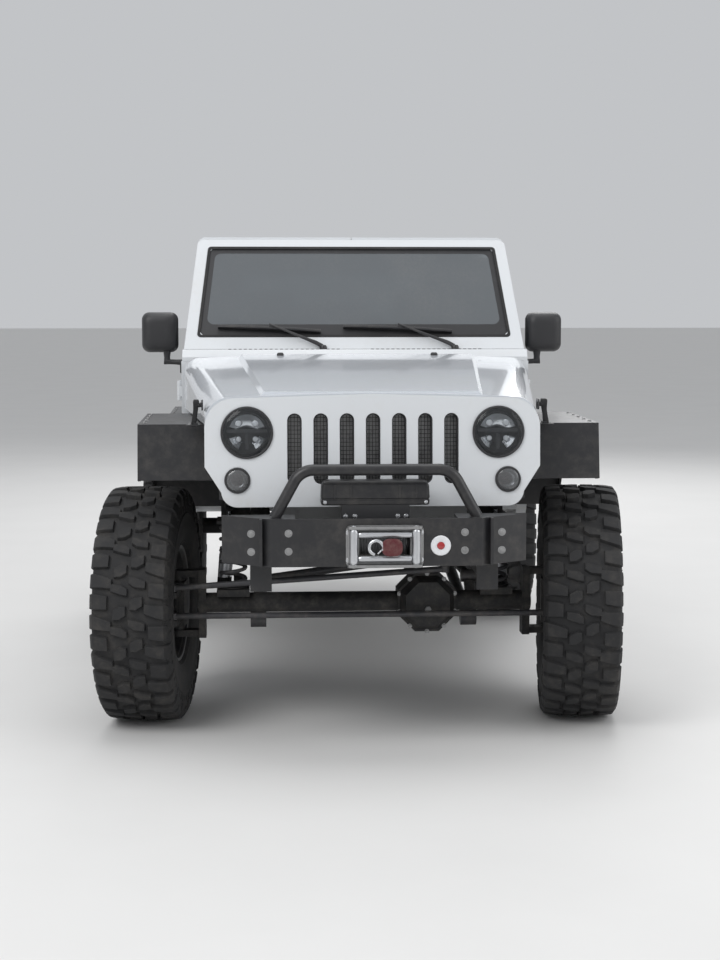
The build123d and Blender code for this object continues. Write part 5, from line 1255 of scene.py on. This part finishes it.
# Front seats and bench: crowned pads with bolsters and sewn channels, on plain steel frames
SEAT_X, SEAT_FLOOR = 0.37, 0.7903
# Points round a pad, and where across it the crown meets the bolsters
PAD_ROUND, PAD_FLAT = 40, 0.56


def pad(stations, half, thick, bolster, channels):
    """A stuffed pad along stations of (place, outward way): rounded, crowned, grooved across and along."""
    form = Form()
    rows = []
    count = len(stations) - 1
    for i, (place, out) in enumerate(stations):
        t = i / count
        ease = (1 - abs(2 * t - 1) ** 5) ** 0.5 if 0 < i < count else 0.22
        groove = max((math.exp(-(((t - c) / 0.018) ** 2)) for c in channels), default=0)
        row = []
        for k in range(PAD_ROUND):
            a = 2 * math.pi * k / PAD_ROUND
            u = math.copysign(abs(math.cos(a)) ** 0.42, math.cos(a))
            v = math.copysign(abs(math.sin(a)) ** 0.62, math.sin(a))
            width = half * (0.93 + 0.07 * ease) * (1 - 0.025 * math.sin(math.pi * t))
            rise = thick * (0.45 + 0.55 * ease)
            lift = 0.0
            if v > 0:
                edge = min(max((abs(u) - 0.52) / 0.3, 0), 1)
                lift = bolster * edge * edge * (3 - 2 * edge)
                lift -= 0.005 * math.exp(-(((abs(u) - PAD_FLAT) / 0.035) ** 2))
                lift -= groove * 0.007 * (1 if abs(u) < PAD_FLAT else 0.15)
                lift += 0.01 * (1 - u * u) * (1 if abs(u) < PAD_FLAT else 0)
            row.append(place + X_AXIS * (u * width) + out * (v * rise + lift * ease))
        rows.append(row)
    form.skin(rows)
    return form


def run_of(start, end, out_start, out_end, count, bow):
    """Stations from start to end, bowed outward in the middle."""
    stations = []
    for i in range(count + 1):
        t = i / count
        out = Vector(out_start).lerp(Vector(out_end), t).normalized()
        stations.append((Vector(start).lerp(Vector(end), t) + out * bow * math.sin(math.pi * t), out))
    return stations


def cushion(form, name, place, replaced=()):
    """Puts a pad in the scene in seat cloth, smoothed by one level of subdivision."""
    piece = fit(
        form, name, ["seat_cloth"], replaces=replaced, sharp=1.4, place=place, levels=1,
    )


back_out = Vector((0, -0.975, 0.222))
base_run = run_of(
    (0, along(1.165), 1.08), (0, along(1.56), 1.052), (0, -0.05, 1), (0, 0.06, 1), 30, 0.006,
)
back_run = run_of((0, along(1.635), 1.15), (0, along(1.735), 1.575), back_out, back_out, 34, 0.01)
head_run = run_of(
    (0, along(1.722), 1.585), (0, along(1.716), 1.722), (0, -1, 0.05), (0, -1, 0.0), 18, 0.004,
)
replaced = ["seats"]
for side, name in ((1, "left"), (-1, "right")):
    place = moved(side * SEAT_X, 0, 0)
    cushion(
        pad(base_run, 0.19, 0.046, 0.022, (0.22, 0.4, 0.58, 0.76)), f"seat_base_{name}", place, replaced,
    )
    cushion(pad(back_run, 0.188, 0.044, 0.026, (0.18, 0.34, 0.5, 0.66)), f"seat_back_{name}", place)
    cushion(pad(head_run, 0.126, 0.036, 0.0, ()), f"head_rest_{name}", place)
    replaced = []
bench_base = run_of(
    (0, REAR - 0.415, 1.18), (0, REAR - 0.02, 1.152), (0, -0.05, 1), (0, 0.05, 1), 30, 0.006,
)
bench_back = run_of(
    (0, REAR + 0.045, 1.24), (0, REAR + 0.105, 1.5), (0, -0.97, 0.24), (0, -0.97, 0.24), 26, 0.008,
)
for side, name in ((1, "left"), (-1, "right")):
    place = moved(side * 0.264, 0, 0)
    cushion(pad(bench_base, 0.258, 0.042, 0.012, (0.3, 0.62)), f"bench_base_{name}", place)
    cushion(pad(bench_back, 0.258, 0.036, 0.012, (0.33, 0.66)), f"bench_back_{name}", place)

# Places along the car, heights and widths of the side plate that joins each seat's base and back
RECLINER = table(3, 1545, 1010, 60, 1600, 1040, 74, 1640, 1110, 60, 1662, 1190, 30)
mounts = Form()
for side in (1, -1):
    x = side * SEAT_X
    for edge in (-0.15, 0.15):
        mounts.block((x + edge, along(1.37), SEAT_FLOOR + 0.012), (0.034, 0.42, 0.022))
        mounts.block((x + edge, along(1.37), SEAT_FLOOR + 0.034), (0.022, 0.4, 0.022), 1)
        for a in (1.19, 1.54):
            mounts.block((x + edge, along(a), SEAT_FLOOR + 0.13), (0.02, 0.05, 0.19))
    mounts.plate(rounded(0.35, 0.4, 0.04), 0.014, moved(x, along(1.36), SEAT_FLOOR + 0.216))
    for edge in (1, -1):
        mounts.limb(
            [((y, z), 0.01, w) for y, z, w in RECLINER], 0.004,
            lambda t, u, v: Vector((x + edge * 0.1905 + u, along(t[0]) + v, t[1])), 2,
        )
        mounts.rod(
            (x + edge * 0.045, along(1.734), 1.545), (x + edge * 0.045, along(1.722), 1.61), 0.006, 14, 1,
        )
for x in (-0.3, 0.3):
    for y in (-0.36, -0.06):
        mounts.block((x, REAR + y, 1.015), (0.026, 0.03, 0.248))
    mounts.block((x, REAR - 0.21, 1.132), (0.06, 0.38, 0.014))
mounts.plate(rounded(1.02, 0.3, 0.03), 0.01, facing((0, REAR + 0.118, 1.37), (0, 0.97, -0.24)), 2)
fit(mounts, "seat_frames", ["frame_black", "dull_steel", "cabin_plastic"], 0.001)

# Dashboard: moulded top and face, hooded dials, round vents, middle stack and glove box
dash = Form()
DASH_A, DASH_LOW, DASH_TOP, DASH_SLOPE = 0.634, 1.12, 1.414, 0.0909
TUNNEL_TOP = 0.9755
section = [
    (0.002, DASH_LOW), (0.002, 1.406), (0.012, DASH_TOP), (0.236, DASH_TOP),
    *pairs(262, 1411, 286, 1398, 318, 1370, 328, 1358, 328.5, 1348, 312, 1340, 306, 1330),
    *pairs(296, 1220, 294, 1208, 299, 1198, 296, 1134, 286, 1121),
]
rows = []
MID_Y, MID_Z = 0.16, 1.27
for x, pull in pairs(-703.5, 6, -696, 0, -300, 0, 0, 0, 300, 0, 696, 0, 703.5, 6):
    size = 1 - pull / MID_Y
    rows.append(
        [(x, along(DASH_A + MID_Y + (y - MID_Y) * size), MID_Z + (z - MID_Z) * size) for y, z in section]
    )
dash.skin(rows)


def dash_face(x, z, out=0.0):
    """Placing matrix on the dashboard's upright face towards the seats."""
    reach = 0.296 + (z - 1.22) * DASH_SLOPE
    way = Vector((0, 1, -DASH_SLOPE)).normalized()
    return facing(Vector((x, along(DASH_A + reach), z)) + way * out, way)


for x in (-0.6, -0.085, 0.085, 0.6):
    seat = dash_face(x, 1.292 if abs(x) > 0.3 else 1.3)
    dash.lathe(pairs(46, 0, 46, 6, 43.5, 9, 38, 8.5, 36, 1, 36, 0), seat, 36, 1)
    for i in range(5):
        y = -0.026 + i * 0.013
        w = math.sqrt(0.0355**2 - y * y)
        dash.block((0, 0, 0), (2 * w, 0.0016, 0.006), 1, seat @ moved(0, y, 0.004))
stack = dash_face(0, 1.235)
dash.plate(rounded(0.25, 0.086, 0.012), 0.008, stack @ moved(0, -0.002, 0), 1)
dash.plate(rounded(0.176, 0.056, 0.005), 0.0095, stack @ moved(0, 0.002, 0), 2)
for x in (-0.107, 0.107):
    dash.lathe(pairs(0, 0, 12.5, 0, 12.5, 14, 11, 18, 0, 18), stack @ moved(x, -0.004, 0.006), 24)
low = dash_face(0, 1.165)
dash.plate(rounded(0.24, 0.052, 0.01), 0.008, low, 1)
for x in (-0.075, 0, 0.075):
    dash.lathe(pairs(0, 0, 19, 0, 18.5, 14, 16, 18, 0, 18), low @ moved(x, 0, 0.006), 28)
dash.band(
    rounded(0.32, 0.12, 0.014), rounded(0.312, 0.112, 0.011), 0.0022, dash_face(-0.4, 1.18, 0.0004), 1,
)
dash.rod(
    dash_face(-0.52, 1.336, 0.024).translation, dash_face(-0.27, 1.336, 0.024).translation, 0.011, 18, 1,
)
for x in (-0.515, -0.275):
    dash.block((0, 0, 0), (0.018, 0.018, 0.028), 1, dash_face(x, 1.336, 0.01))
hood_place = dash_face(SEAT_X, 1.345)
for x in (-0.062, 0.062):
    dial = hood_place @ moved(x, -0.01, 0.0)
    dash.lathe(pairs(52, 0, 52, 16, 49, 18, 46, 12, 0, 10), dial, 40, 1)
    dash.lathe(pairs(44, 12.5, 43, 14, 42, 12.5), dial, 40, 3)
    dash.block(
        (0, 0, 0), (0.002, 0.032, 0.0012), 4,
        dial @ Matrix.Rotation(0.7, 4, "Z") @ moved(0, 0.014, 0.0135),
    )
for i in range(17):
    a = math.pi * i / 16
    visor_place = hood_place @ moved(0.128 * math.cos(a), 0.056 * math.sin(a), 0.01)
    visor_place = visor_place @ Matrix.Rotation(a + math.pi / 2, 4, "Z")
    dash.block((0, 0, 0), (0.024, 0.01, 0.04), 1, visor_place)
foot_place = moved(0, along(DASH_A + 0.19), TUNNEL_TOP)
dash.plate(rounded(0.216, 0.196, 0.018), DASH_LOW + 0.001 - TUNNEL_TOP, foot_place)
column_start = Vector((SEAT_X, along(DASH_A + 0.2), 1.255))
column_end = Vector((SEAT_X, along(DASH_A + 0.43), 1.335))
column_way = (column_end - column_start).normalized()
shroud = [(0.3, 0.058, 0.058), (0.55, 0.058, 0.058), (0.9, 0.054, 0.054), (1.0, 0.046, 0.046)]
dash.limb(
    shroud, 0.016,
    lambda t, u, v: facing(column_start.lerp(column_end, t), column_way) @ Vector((u, v, 0)), 1, 4,
)
for tilt in (0.12, math.pi - 0.12):
    at = facing(column_end - column_way * 0.04, column_way)
    tip = Vector((0.15 * math.cos(tilt), 0.15 * math.sin(tilt) * 0.5 + 0.006, 0.006))
    dash.rod(at @ Vector((0.02 * math.copysign(1, math.cos(tilt)), 0.004, 0)), at @ tip, 0.0052, 14, 1)
fit(
    dash, "dashboard_moulding",
    ["cabin_plastic", "grained_black", "smoke_lens", "bright_steel", "hook_red"], 0.0015,
    replaces=["dashboard"], sharp=0.5,
)

# Steering wheel: padded rim, four spokes, plain middle pad
wheel_seat = facing(column_end + column_way * 0.042, column_way)
wheel = Form()
# Radii, widths, depths and lifts of a spoke, and heights and insets of the middle pad
SPOKE = table(4, 40, 46, 18, -2, 80, 36, 16, -1, 125, 27, 13, 2, 166, 30, 12, 3)
HUB_PAD = pairs(-16, 12, -12, 4, -4, 0, 8, 1, 15, 6, 19, 14, 20.5, 28, 21, 42)
HOLD_R = 0.1748
grip = []
for i in range(72):
    a = 2 * math.pi * i / 72
    stitch = 0.0004 * math.cos(36 * a)
    knob = 0.0015 * max(math.cos(2 * (a - 0.5)), 0) ** 8
    r = 0.0148 + stitch + knob
    row = []
    for k in range(16):
        b = 2 * math.pi * k / 16
        out = HOLD_R + r * math.cos(b)
        row.append((out * math.cos(a), out * math.sin(a), 0.003 + r * 0.88 * math.sin(b)))
    grip.append(row)
wheel.skin([*grip, grip[0]], 0, True, False, wheel_seat)
for a in (math.radians(8), math.radians(172), math.radians(240), math.radians(300)):
    base = wheel_seat @ Matrix.Rotation(a, 4, "Z")
    wheel.limb(
        [((r, lift), w, d) for r, w, d, lift in SPOKE], 0.005,
        lambda t, u, v: base @ Vector((t[0], u, v + t[1])), 1,
    )
wheel.stack(HUB_PAD, (0.118, 0.104), 0.04, wheel_seat, 0, 0.75, 6)
wheel.lathe(pairs(0, -30, 30, -30, 34, -22, 34, -10, 0, -10), wheel_seat, 32, 1)
fit(
    wheel, "steering_wheel_rim", ["grained_black", "satin_black"], 0.0006,
    body="steering_wheel", replaces=["steering_wheel"], sharp=0.7,
)

# Tunnel console with its levers, interior mirror, sun visors and headliner
BOOT = pairs(36, 0, 34, 10, 28, 18, 30, 24, 22, 34, 24, 40, 12, 54, 8, 60)
KNOB = pairs(8, -10, 15, -4, 21.5, 8, 23.5, 20, 19, 34, 9, 41, 0, 42.5)
cabin = Form()
levels = pairs(0, 0, 50, 4, 90, 8, 100, 14, 102, 22)
cabin.stack(levels, (0.205, 0.4), 0.03, moved(0, along(1.33), TUNNEL_TOP))
for x, a, high, lean in ((0.03, 1.215, 0.21, -0.1), (-0.048, 1.235, 0.16, 0.05)):
    foot = Vector((x, along(a), 1.074))
    tip = foot + Vector((0, -0.02 + lean * 0.2, high))
    cabin.lathe(BOOT, facing(foot, tip - foot), 24, 2)
    cabin.rod(foot, tip, 0.0062, 16, 3)
    cabin.lathe(KNOB, facing(tip, tip - foot), 28, 1)
for x in (-0.046, 0.046):
    cup = moved(x, along(1.375), 1.077)
    cabin.lathe(pairs(40, 0, 40, 4, 37, 5, 35.5, 2), cup, 32, 1)
mirror_at = Vector((0, along(0.985), 1.842))
cabin.limb(
    [(d - 0.006, 0.236 - i, 0.062 - i) for d, i in pairs(-10, 20, -4, 4, 4, 0, 10, 4)],
    0.024, lambda t, u, v: mirror_at + Vector((u, t, v)), 1, 5,
)
cabin.plate(rounded(0.222, 0.05, 0.02, 5), 0.001, facing(mirror_at + Vector((0, 0.0042, 0)), Y_AXIS), 4)
cabin.rod(mirror_at + Vector((0, -0.012, 0.012)), mirror_at + Vector((0, -0.02, 0.07)), 0.007, 16, 1)
for side in (1, -1):
    visor_at = Vector((side * 0.34, along(1.115), 1.874))
    levels = pairs(0, 10, 2, 2, 7, 0, 12, 2, 14, 10)
    cabin.limb(
        [(d, 0.42 - i, 0.15 - i) for d, i in levels], 0.026,
        lambda t, u, v: visor_at + Vector((u, v, t - v * 0.1)), 5, 5,
    )
for a0, a1, half, z in ((1.07, 1.715, 0.625, 1.9255), (1.76, 3.01, 0.64, 1.9325)):
    lining = rounded(2 * half, a1 - a0, 0.05)
    cabin.plate(lining, 0.004, moved(0, along((a0 + a1) / 2), z), 5)
fit(
    cabin, "cabin_fittings",
    ["cabin_plastic", "grained_black", "seal_rubber", "dull_steel", "mirror_glass", "floor_paint"],
    0.001,
)

# Tail lamps
REAR_FACE, GATE_INNER = along(3.1143), along(3.0695)
tails = Form()
for side in (1, -1):
    seat = facing((side * 0.699, REAR_FACE, 1.09), Y_AXIS)
    tails.stack(pairs(0, 0, 24, 0, 30, 1.5, 34, 6), (0.092, 0.215), 0.014, seat, steps=4)
    levels = pairs(33, 0, 38, 0, 41, 2, 42.8, 6, 43.5, 12)
    for y, h, look in ((0.046, 0.104, 1), (-0.038, 0.05, 2), (-0.083, 0.03, 1)):
        tails.stack(levels, (0.074, h), 0.01, seat @ moved(0, y, 0), look, 0.3, 4)
    for x in (-0.041, 0.041):
        tails.bolt(seat @ Vector((x * 0.93, -0.0625, 0.0335)), Y_AXIS, 0.0032, 3, 0.0025)
fit(
    tails, "tail_lamp_set", ["grained_black", "red_lens", "white_lens", "dull_steel"],
    0.0006, replaces=["tail_lamps"],
)

# Tailgate: handle, hinge screws, carrier bolts, pressed frame and inner panel
gate = Form()
pull = facing((0.556, REAR_FACE, 1.215), Y_AXIS)
gate.band(rounded(0.092, 0.15, 0.024, 5), rounded(0.068, 0.126, 0.016, 5), 0.004, pull)
gate.plate(rounded(0.07, 0.128, 0.016, 5), 0.001, pull, 1)
paddle = table(3, -54, 3, 34, -46, 13, 38, 20, 18, 40, 50, 14, 38, 57, 3, 34)
gate.limb(
    [((y, depth), w, 0.008) for y, depth, w in paddle], 0.003,
    lambda t, u, v: pull @ Vector((u, t[0], t[1] + v)),
)
for z in (0.93, 1.29):
    for lift in (LEAF_HALF, -LEAF_HALF):
        for x in (-0.61, -0.572):
            gate.bolt((x, along(3.1222), z + lift), Y_AXIS, 0.0048, 2, 0.003)
for x, z in pairs(-150, 1302, 150, 1302, -150, 1002, 150, 1002):
    gate.bolt((x, along(3.1742), z), Y_AXIS, 0.0085, 2, 0.006)
gate.band(
    rounded(1.12, 0.5, 0.05, 6), rounded(1.1, 0.48, 0.042, 6), 0.0026,
    facing((0, along(3.1141), 1.105), Y_AXIS), 3,
)
inner_face = facing((0, GATE_INNER, 1.11), -Y_AXIS)
gate.plate(rounded(0.98, 0.4, 0.04, 6), 0.006, inner_face, 4)
gate.band(rounded(0.86, 0.28, 0.034, 6), rounded(0.844, 0.264, 0.028, 6), 0.009, inner_face)
fit(
    gate, "tailgate_fittings",
    ["grained_black", "satin_black", "dull_steel", "body_paint", "cabin_plastic"], 0.0008,
    body="tailgate",
)

# Rear: hinges and latch of the rear pane, drip rails, fuel filler and tail pipe
rear = Form()
lean = Matrix.Rotation(-TOP_LEAN, 4, "X")
for side in (1, -1):
    top = on_back(side * 0.33, 1.872, 0.004)
    rear.block(top, (0.06, 0.01, 0.044), 0, lean)
    rear.rod(top + Vector((-0.032, 0.006, -0.02)), top + Vector((0.032, 0.006, -0.02)), 0.0062, 16)
    rear.block(on_back(side * 0.33, 1.818, 0.003), (0.05, 0.007, 0.046), 0, lean)
    for lift in (0.012, -0.066):
        rear.bolt(
            on_back(side * 0.33, 1.872 + lift, 0.0085 if lift > 0 else 0.0062), Y_AXIS, 0.0048, 1, 0.003,
        )
    rail = [on_side(side, 1.735 + 1.3 * i / 12, 1.905, 0.0045) for i in range(13)]
    rear.tube(rail, 0.0045, 10, 2)
latch = facing(on_back(0, 1.476, 0.0), Y_AXIS)
rear.plate(rounded(0.11, 0.036, 0.012, 4), 0.01, latch)
rear.plate(rounded(0.06, 0.018, 0.007, 4), 0.017, latch)
filler = facing((BODY_HALF + 0.0003, along(1.84), 1.245), X_AXIS)
rear.lathe(pairs(72, 0, 72, 3, 68, 5.5, 58, 4.5, 55, 1, 0, 1), filler, 44)
cap = pairs(0, 1, 40, 1, 40, 10, 38, 13, 10, 13.5, 0, 13.5)
rear.lathe(cap, filler, 14)
rear.plate(rounded(0.062, 0.015, 0.005, 3), 0.0205, filler)
pipe = facing((0.185, along(2.9), 0.656), (0.15, 1, 0))
rear.lathe(pairs(26, -20, 26, 100, 23.5, 100, 23.5, 0), pipe, 28, 1)
fit(rear, "rear_fittings", ["grained_black", "dull_steel", "body_paint"], 0.0008)

# Underside: cover bolts on both axle housings and the frame's bracket bolts
under = Form()
for centre, way, radius in (
    (Vector((0.25, FRONT - 0.05, TYRE_R)), -Y_AXIS, 0.1195),
    (Vector((0, REAR + 0.06, TYRE_R)), Y_AXIS, 0.1235),
):
    for i in range(10):
        a = (i + 0.5) * math.pi / 5
        at = centre + Vector((radius * math.cos(a), 0, radius * math.sin(a))) * 0.985
        under.bolt(at + way * 0.0002, way, 0.0062, 0, 0.0055)
    under.lathe(
        pairs(0, 0, 14, 0, 13, 7, 0, 7), facing(centre + way * 0.0455 + Vector((0, 0, -0.02)), way), 6,
    )
for side in (1, -1):
    for a in (-0.56, 0.15, 1.06, 1.5, 2.28, 2.9):
        under.bolt(
            (side * 0.4602, along(a), 0.7 if 0.8 < a < 1.8 else 0.762), X_AXIS * side, 0.0085, 0, 0.0065,
        )
fit(under, "underside_bolts", ["dull_steel"])

# Engine bay: covers, inlet and belt on the engine block, air box, battery and brake booster beside it
bay = Form()
BLOCK_TOP, BLOCK_FRONT, BLOCK_MID = 1.19, along(-0.05), along(0.21)
BAY_X, TRAY_TOP = 0.42, 1.075
# Heights and insets of the engine's covers, the air box and the battery
COVER = pairs(0, -4, 10, -4, 11, 4, 40, 7, 52, 14, 56, 24)
AIR_BOX = pairs(0, 10, 6, 0, 118, -4, 119, -10, 128, -10, 129, -4, 170, 2, 182, 14)
BATTERY = pairs(0, 4, 4, 0, 150, 0, 151, -3, 178, -3, 182, 2)
for side in (1, -1):
    x = side * 0.168
    bay.stack(COVER, (0.13, 0.45), 0.026, moved(x, BLOCK_MID, BLOCK_TOP), 1)
    for i in range(7):
        bay.block((x, BLOCK_MID - 0.165 + i * 0.055, BLOCK_TOP + 0.0575), (0.07, 0.01, 0.006), 1)
    for y in (-0.205, -0.07, 0.07, 0.205):
        for edge in (-0.063, 0.063):
            bay.bolt((x + edge, BLOCK_MID + y, BLOCK_TOP + 0.01), Z_AXIS, 0.0065, 3, 0.007)
bay.lathe(pairs(0, 0, 26, 0, 26, 18, 22, 24, 0, 24), moved(0.168, BLOCK_MID - 0.12, 1.248), 12, 1)
levels = pairs(6, 0, 60, 0, 82, 8, 94, 22, 98, 40)
bay.stack(levels, (0.15, 0.37), 0.04, moved(0, BLOCK_MID + 0.02, BLOCK_TOP), 0, 0.5, 6)
for i in range(3):
    for side in (1, -1):
        y = BLOCK_MID - 0.09 + i * 0.11 + side * 0.014
        run = [
            (side * 0.06, y, 1.25), (side * 0.085, y, 1.252), (side * 0.098, y, 1.236),
            (side * 0.104, y, 1.205),
        ]
        bay.tube(run, 0.017, 14)
inlet = [(0, along(0.062), 1.24), (0, along(0.01), 1.24), (0.03, along(-0.05), 1.238)]
inlet += [
    (0.12, along(-0.088), 1.228), (0.26, along(-0.075), 1.21), (0.36, along(0.0), 1.192),
    (0.4, along(0.09), 1.18),
]
bay.tube(smoothed(inlet), 0.032, 22, 2)
for at in ((0, along(0.03), 1.24), (0.4, along(0.098), 1.18)):
    bay.band(ring(0.035, 24), ring(0.0325, 24), 0.01, facing(at, Y_AXIS), 3)
air_y, battery_y = along(0.245), along(0.42)
bay.stack(AIR_BOX, (0.19, 0.27), 0.024, moved(BAY_X, air_y, TRAY_TOP), 1)
for y in (-0.08, 0.0, 0.08):
    bay.block((BAY_X, air_y + y, 1.258), (0.13, 0.012, 0.008), 1)
    bay.block((0.316, air_y + y, 1.2), (0.008, 0.02, 0.044), 3)
bay.stack(BATTERY, (0.178, 0.25), 0.008, moved(-BAY_X, battery_y, TRAY_TOP), 2, steps=3)
for y in (-0.09, 0.09):
    bay.lathe(pairs(0, 0, 12, 0, 10, 20, 0, 20), moved(-0.46, battery_y + y, 1.256), 20, 3)
bay.block((-BAY_X, battery_y, 1.262), (0.19, 0.026, 0.008), 4)
for x, y in ((-BAY_X, battery_y), (BAY_X, air_y)):
    bay.plate(rounded(0.2, 0.26, 0.012), 0.006, moved(x, y, 1.07), 4)
    for v in (-0.08, 0.08):
        bay.block((x, y + v, 0.895), (0.03, 0.026, 0.352), 4)
booster = facing((BAY_X, along(0.62), 1.25), -Y_AXIS)
drum = pairs(0, 0, 75, 0, 100, 10, 112, 26, 114, 40, 108, 46)
drum += pairs(106, 60, 86, 86, 40, 100, 0, 100)
bay.lathe(drum, booster, 48, 2)
bay.rod(booster @ Vector((0, 0, 0.095)), booster @ Vector((0, 0, 0.175)), 0.017, 20)
levels = pairs(15, 6, 28, 0, 62, 0, 70, 6)
bay.stack(levels, (0.056, 0.074), 0.012, moved(BAY_X, along(0.475), 1.25), 5, steps=4)
# Places across, heights and radii of the pulleys
PULLEYS = table(3, 0, 872, 78, 0, 1045, 62, 170, 1120, 34, -170, 1080, 48, -150, 905, 44)
for x, z, radius in PULLEYS:
    seat = facing((x, BLOCK_FRONT, z), -Y_AXIS)
    profile = [
        (0, 0), (radius * 0.6, 0), (radius * 0.6, 0.02), (radius, 0.024), (radius, 0.046),
        (radius * 0.84, 0.048),
    ]
    bay.lathe([*profile, (radius * 0.78, 0.034), (0.014, 0.034), (0.012, 0.046), (0, 0.046)], seat, 40, 3)
outer, inner = [], []
for i in range(96):
    a = 2 * math.pi * i / 96
    way = Vector((math.cos(a), math.sin(a)))
    x, z, radius = max(PULLEYS, key=lambda p: p[0] * way.x + p[1] * way.y + p[2])
    outer.append((x + way.x * (radius + 0.0045), z + way.y * (radius + 0.0045)))
    inner.append((x + way.x * (radius + 0.0002), z + way.y * (radius + 0.0002)))
belt = facing((0, BLOCK_FRONT - 0.026, 0), -Y_AXIS)
bay.band(outer, inner, 0.018, belt, 2)
for start, end in (
    ((-0.11, along(-0.045), 1.15), (-0.2, along(-0.415), 1.185)),
    ((0.12, along(-0.045), 0.85), (0.23, along(-0.415), 0.86)),
):
    start, end = Vector(start), Vector(end)
    middle = (start + end) / 2 + Vector((0.02, 0, 0.02))
    run = [start, start + Vector((0, -0.06, 0.008)), middle, end + Vector((0, 0.06, 0)), end]
    bay.tube(smoothed(run), 0.0185, 18, 2)
fit(
    bay, "engine_bay_fittings",
    ["engine_metal", "grained_black", "seal_rubber", "dull_steel", "frame_black", "white_lens"],
)

# Door cards: moulded panel with a frame, armrest, pull, winder and a round speaker cover
CARD_X, CARD_MID, CARD_Z = 0.712, along(1.32), 1.135
# Places along the door, depths and heights
ARMREST = table(3, -190, 10, 30, -182, 36, 50, -120, 50, 60, 120, 50, 60, 182, 34, 50, 190, 10, 30)
for side, name in ((1, "left"), (-1, "right")):
    card = Form()
    seat = facing((side * (CARD_X + 0.001), CARD_MID, CARD_Z), -X_AXIS * side)
    fore = 1 if (seat @ Vector((1, 0, 0)) - seat.translation).y < 0 else -1
    card.stack(pairs(0, 0, 4.5, 0, 6.5, 2, 7, 6), (0.64, 0.5), 0.04, seat, 0, 1)
    card.band(
        rounded(0.56, 0.17, 0.03), rounded(0.552, 0.162, 0.026), 0.0088, seat @ moved(0, 0.13, 0), 1,
    )
    rows = []
    for x, depth, h in ARMREST:
        rows.append([(x, -0.01 + v, depth / 2 + u) for u, v in rounded(depth, h, min(depth, h) * 0.3, 4)])
    card.skin(rows, 1, place=seat)
    for x in (-0.05, 0.07):
        card.rod(
            seat @ Vector((fore * x, 0.052, 0.004)), seat @ Vector((fore * x, 0.052, 0.032)), 0.0065, 14,
            1,
        )
    card.rod(
        seat @ Vector((fore * -0.058, 0.052, 0.032)), seat @ Vector((fore * 0.078, 0.052, 0.032)), 0.0085,
        16, 1, 0.002,
    )
    hub = seat @ Vector((fore * 0.215, 0.1, 0.004))
    grip = seat @ Vector((fore * 0.15, 0.058, 0.024))
    card.lathe(pairs(0, 0, 24, 0, 22, 10, 12, 18, 0, 19), facing(hub, -X_AXIS * side), 28, 1)
    card.rod(hub + X_AXIS * (-side * 0.014), grip + X_AXIS * (side * 0.004), 0.0062, 14, 1)
    card.lathe(pairs(0, 0, 12, 1, 13.5, 10, 11, 22, 0, 24), facing(grip, -X_AXIS * side), 24, 2)
    cover = seat @ moved(fore * 0.215, -0.14, 0.0064)
    card.lathe(pairs(78, 0, 78, 4, 72, 8, 68, 5, 0, 8), cover, 48, 1)
    for r in (0.018, 0.034, 0.05):
        card.lathe([(r + 0.002, 0.006), (r, 0.01), (r - 0.002, 0.006)], cover, 40, 2)
    fit(
        card, f"door_card_{name}", ["cabin_plastic", "grained_black", "satin_black"],
        0.0008, body=f"door_{name}",
    )


# Floor, light, camera

ground = Form()
ground.add([(-90, -90, 0), (90, -90, 0), (90, 90, 0), (-90, 90, 0)], [(0, 1, 2, 3)])
floor = bpy.data.objects.new("floor", ground.mesh("floor", 0.6))
bpy.context.scene.collection.objects.link(floor)
stone = Finish("floor_stone")
stone.set(
    Base_Color=stone.mix(stone.noise(1.5, 5.0), (0.66, 0.655, 0.645), (0.71, 0.705, 0.695)),
    Roughness=0.75,
)
floor.data.materials.append(stone.material)

world = bpy.data.worlds.new("studio")
bpy.context.scene.world = world
world.use_nodes = True
world.node_tree.nodes["Background"].inputs["Color"].default_value = (0.9, 0.92, 0.95, 1)
world.node_tree.nodes["Background"].inputs["Strength"].default_value = 0.6

for name, place, aim, size, power in (
    ("key", (-4.5, -6.5, 6.5), (0, -0.5, 0.8), 5.0, 340),
    ("fill", (6.5, -4.0, 4.0), (0, 0, 1.0), 6.0, 170),
    ("back", (2.0, 7.5, 6.0), (0, 1.0, 1.0), 6.0, 270),
    ("top", (0, 0, 8.0), (0, 0, 0), 7.0, 210),
):
    light = bpy.data.lights.new(name, "AREA")
    light.shape, light.size, light.energy = "DISK", size, power
    lamp = bpy.data.objects.new(name, light)
    bpy.context.scene.collection.objects.link(lamp)
    lamp.matrix_world = facing(place, Vector(place) - Vector(aim))

lens = bpy.data.cameras.new("photo_view")
lens.lens = 66
camera = bpy.data.objects.new("photo_view", lens)
bpy.context.scene.collection.objects.link(camera)
stand = Vector((-0.43, GRILLE.y - 6.5, 1.695))
camera.matrix_world = facing(stand, stand - Vector((-0.05, GRILLE.y, 1.02)))
bpy.context.scene.camera = camera
bpy.context.scene.view_settings.view_transform = "Standard"
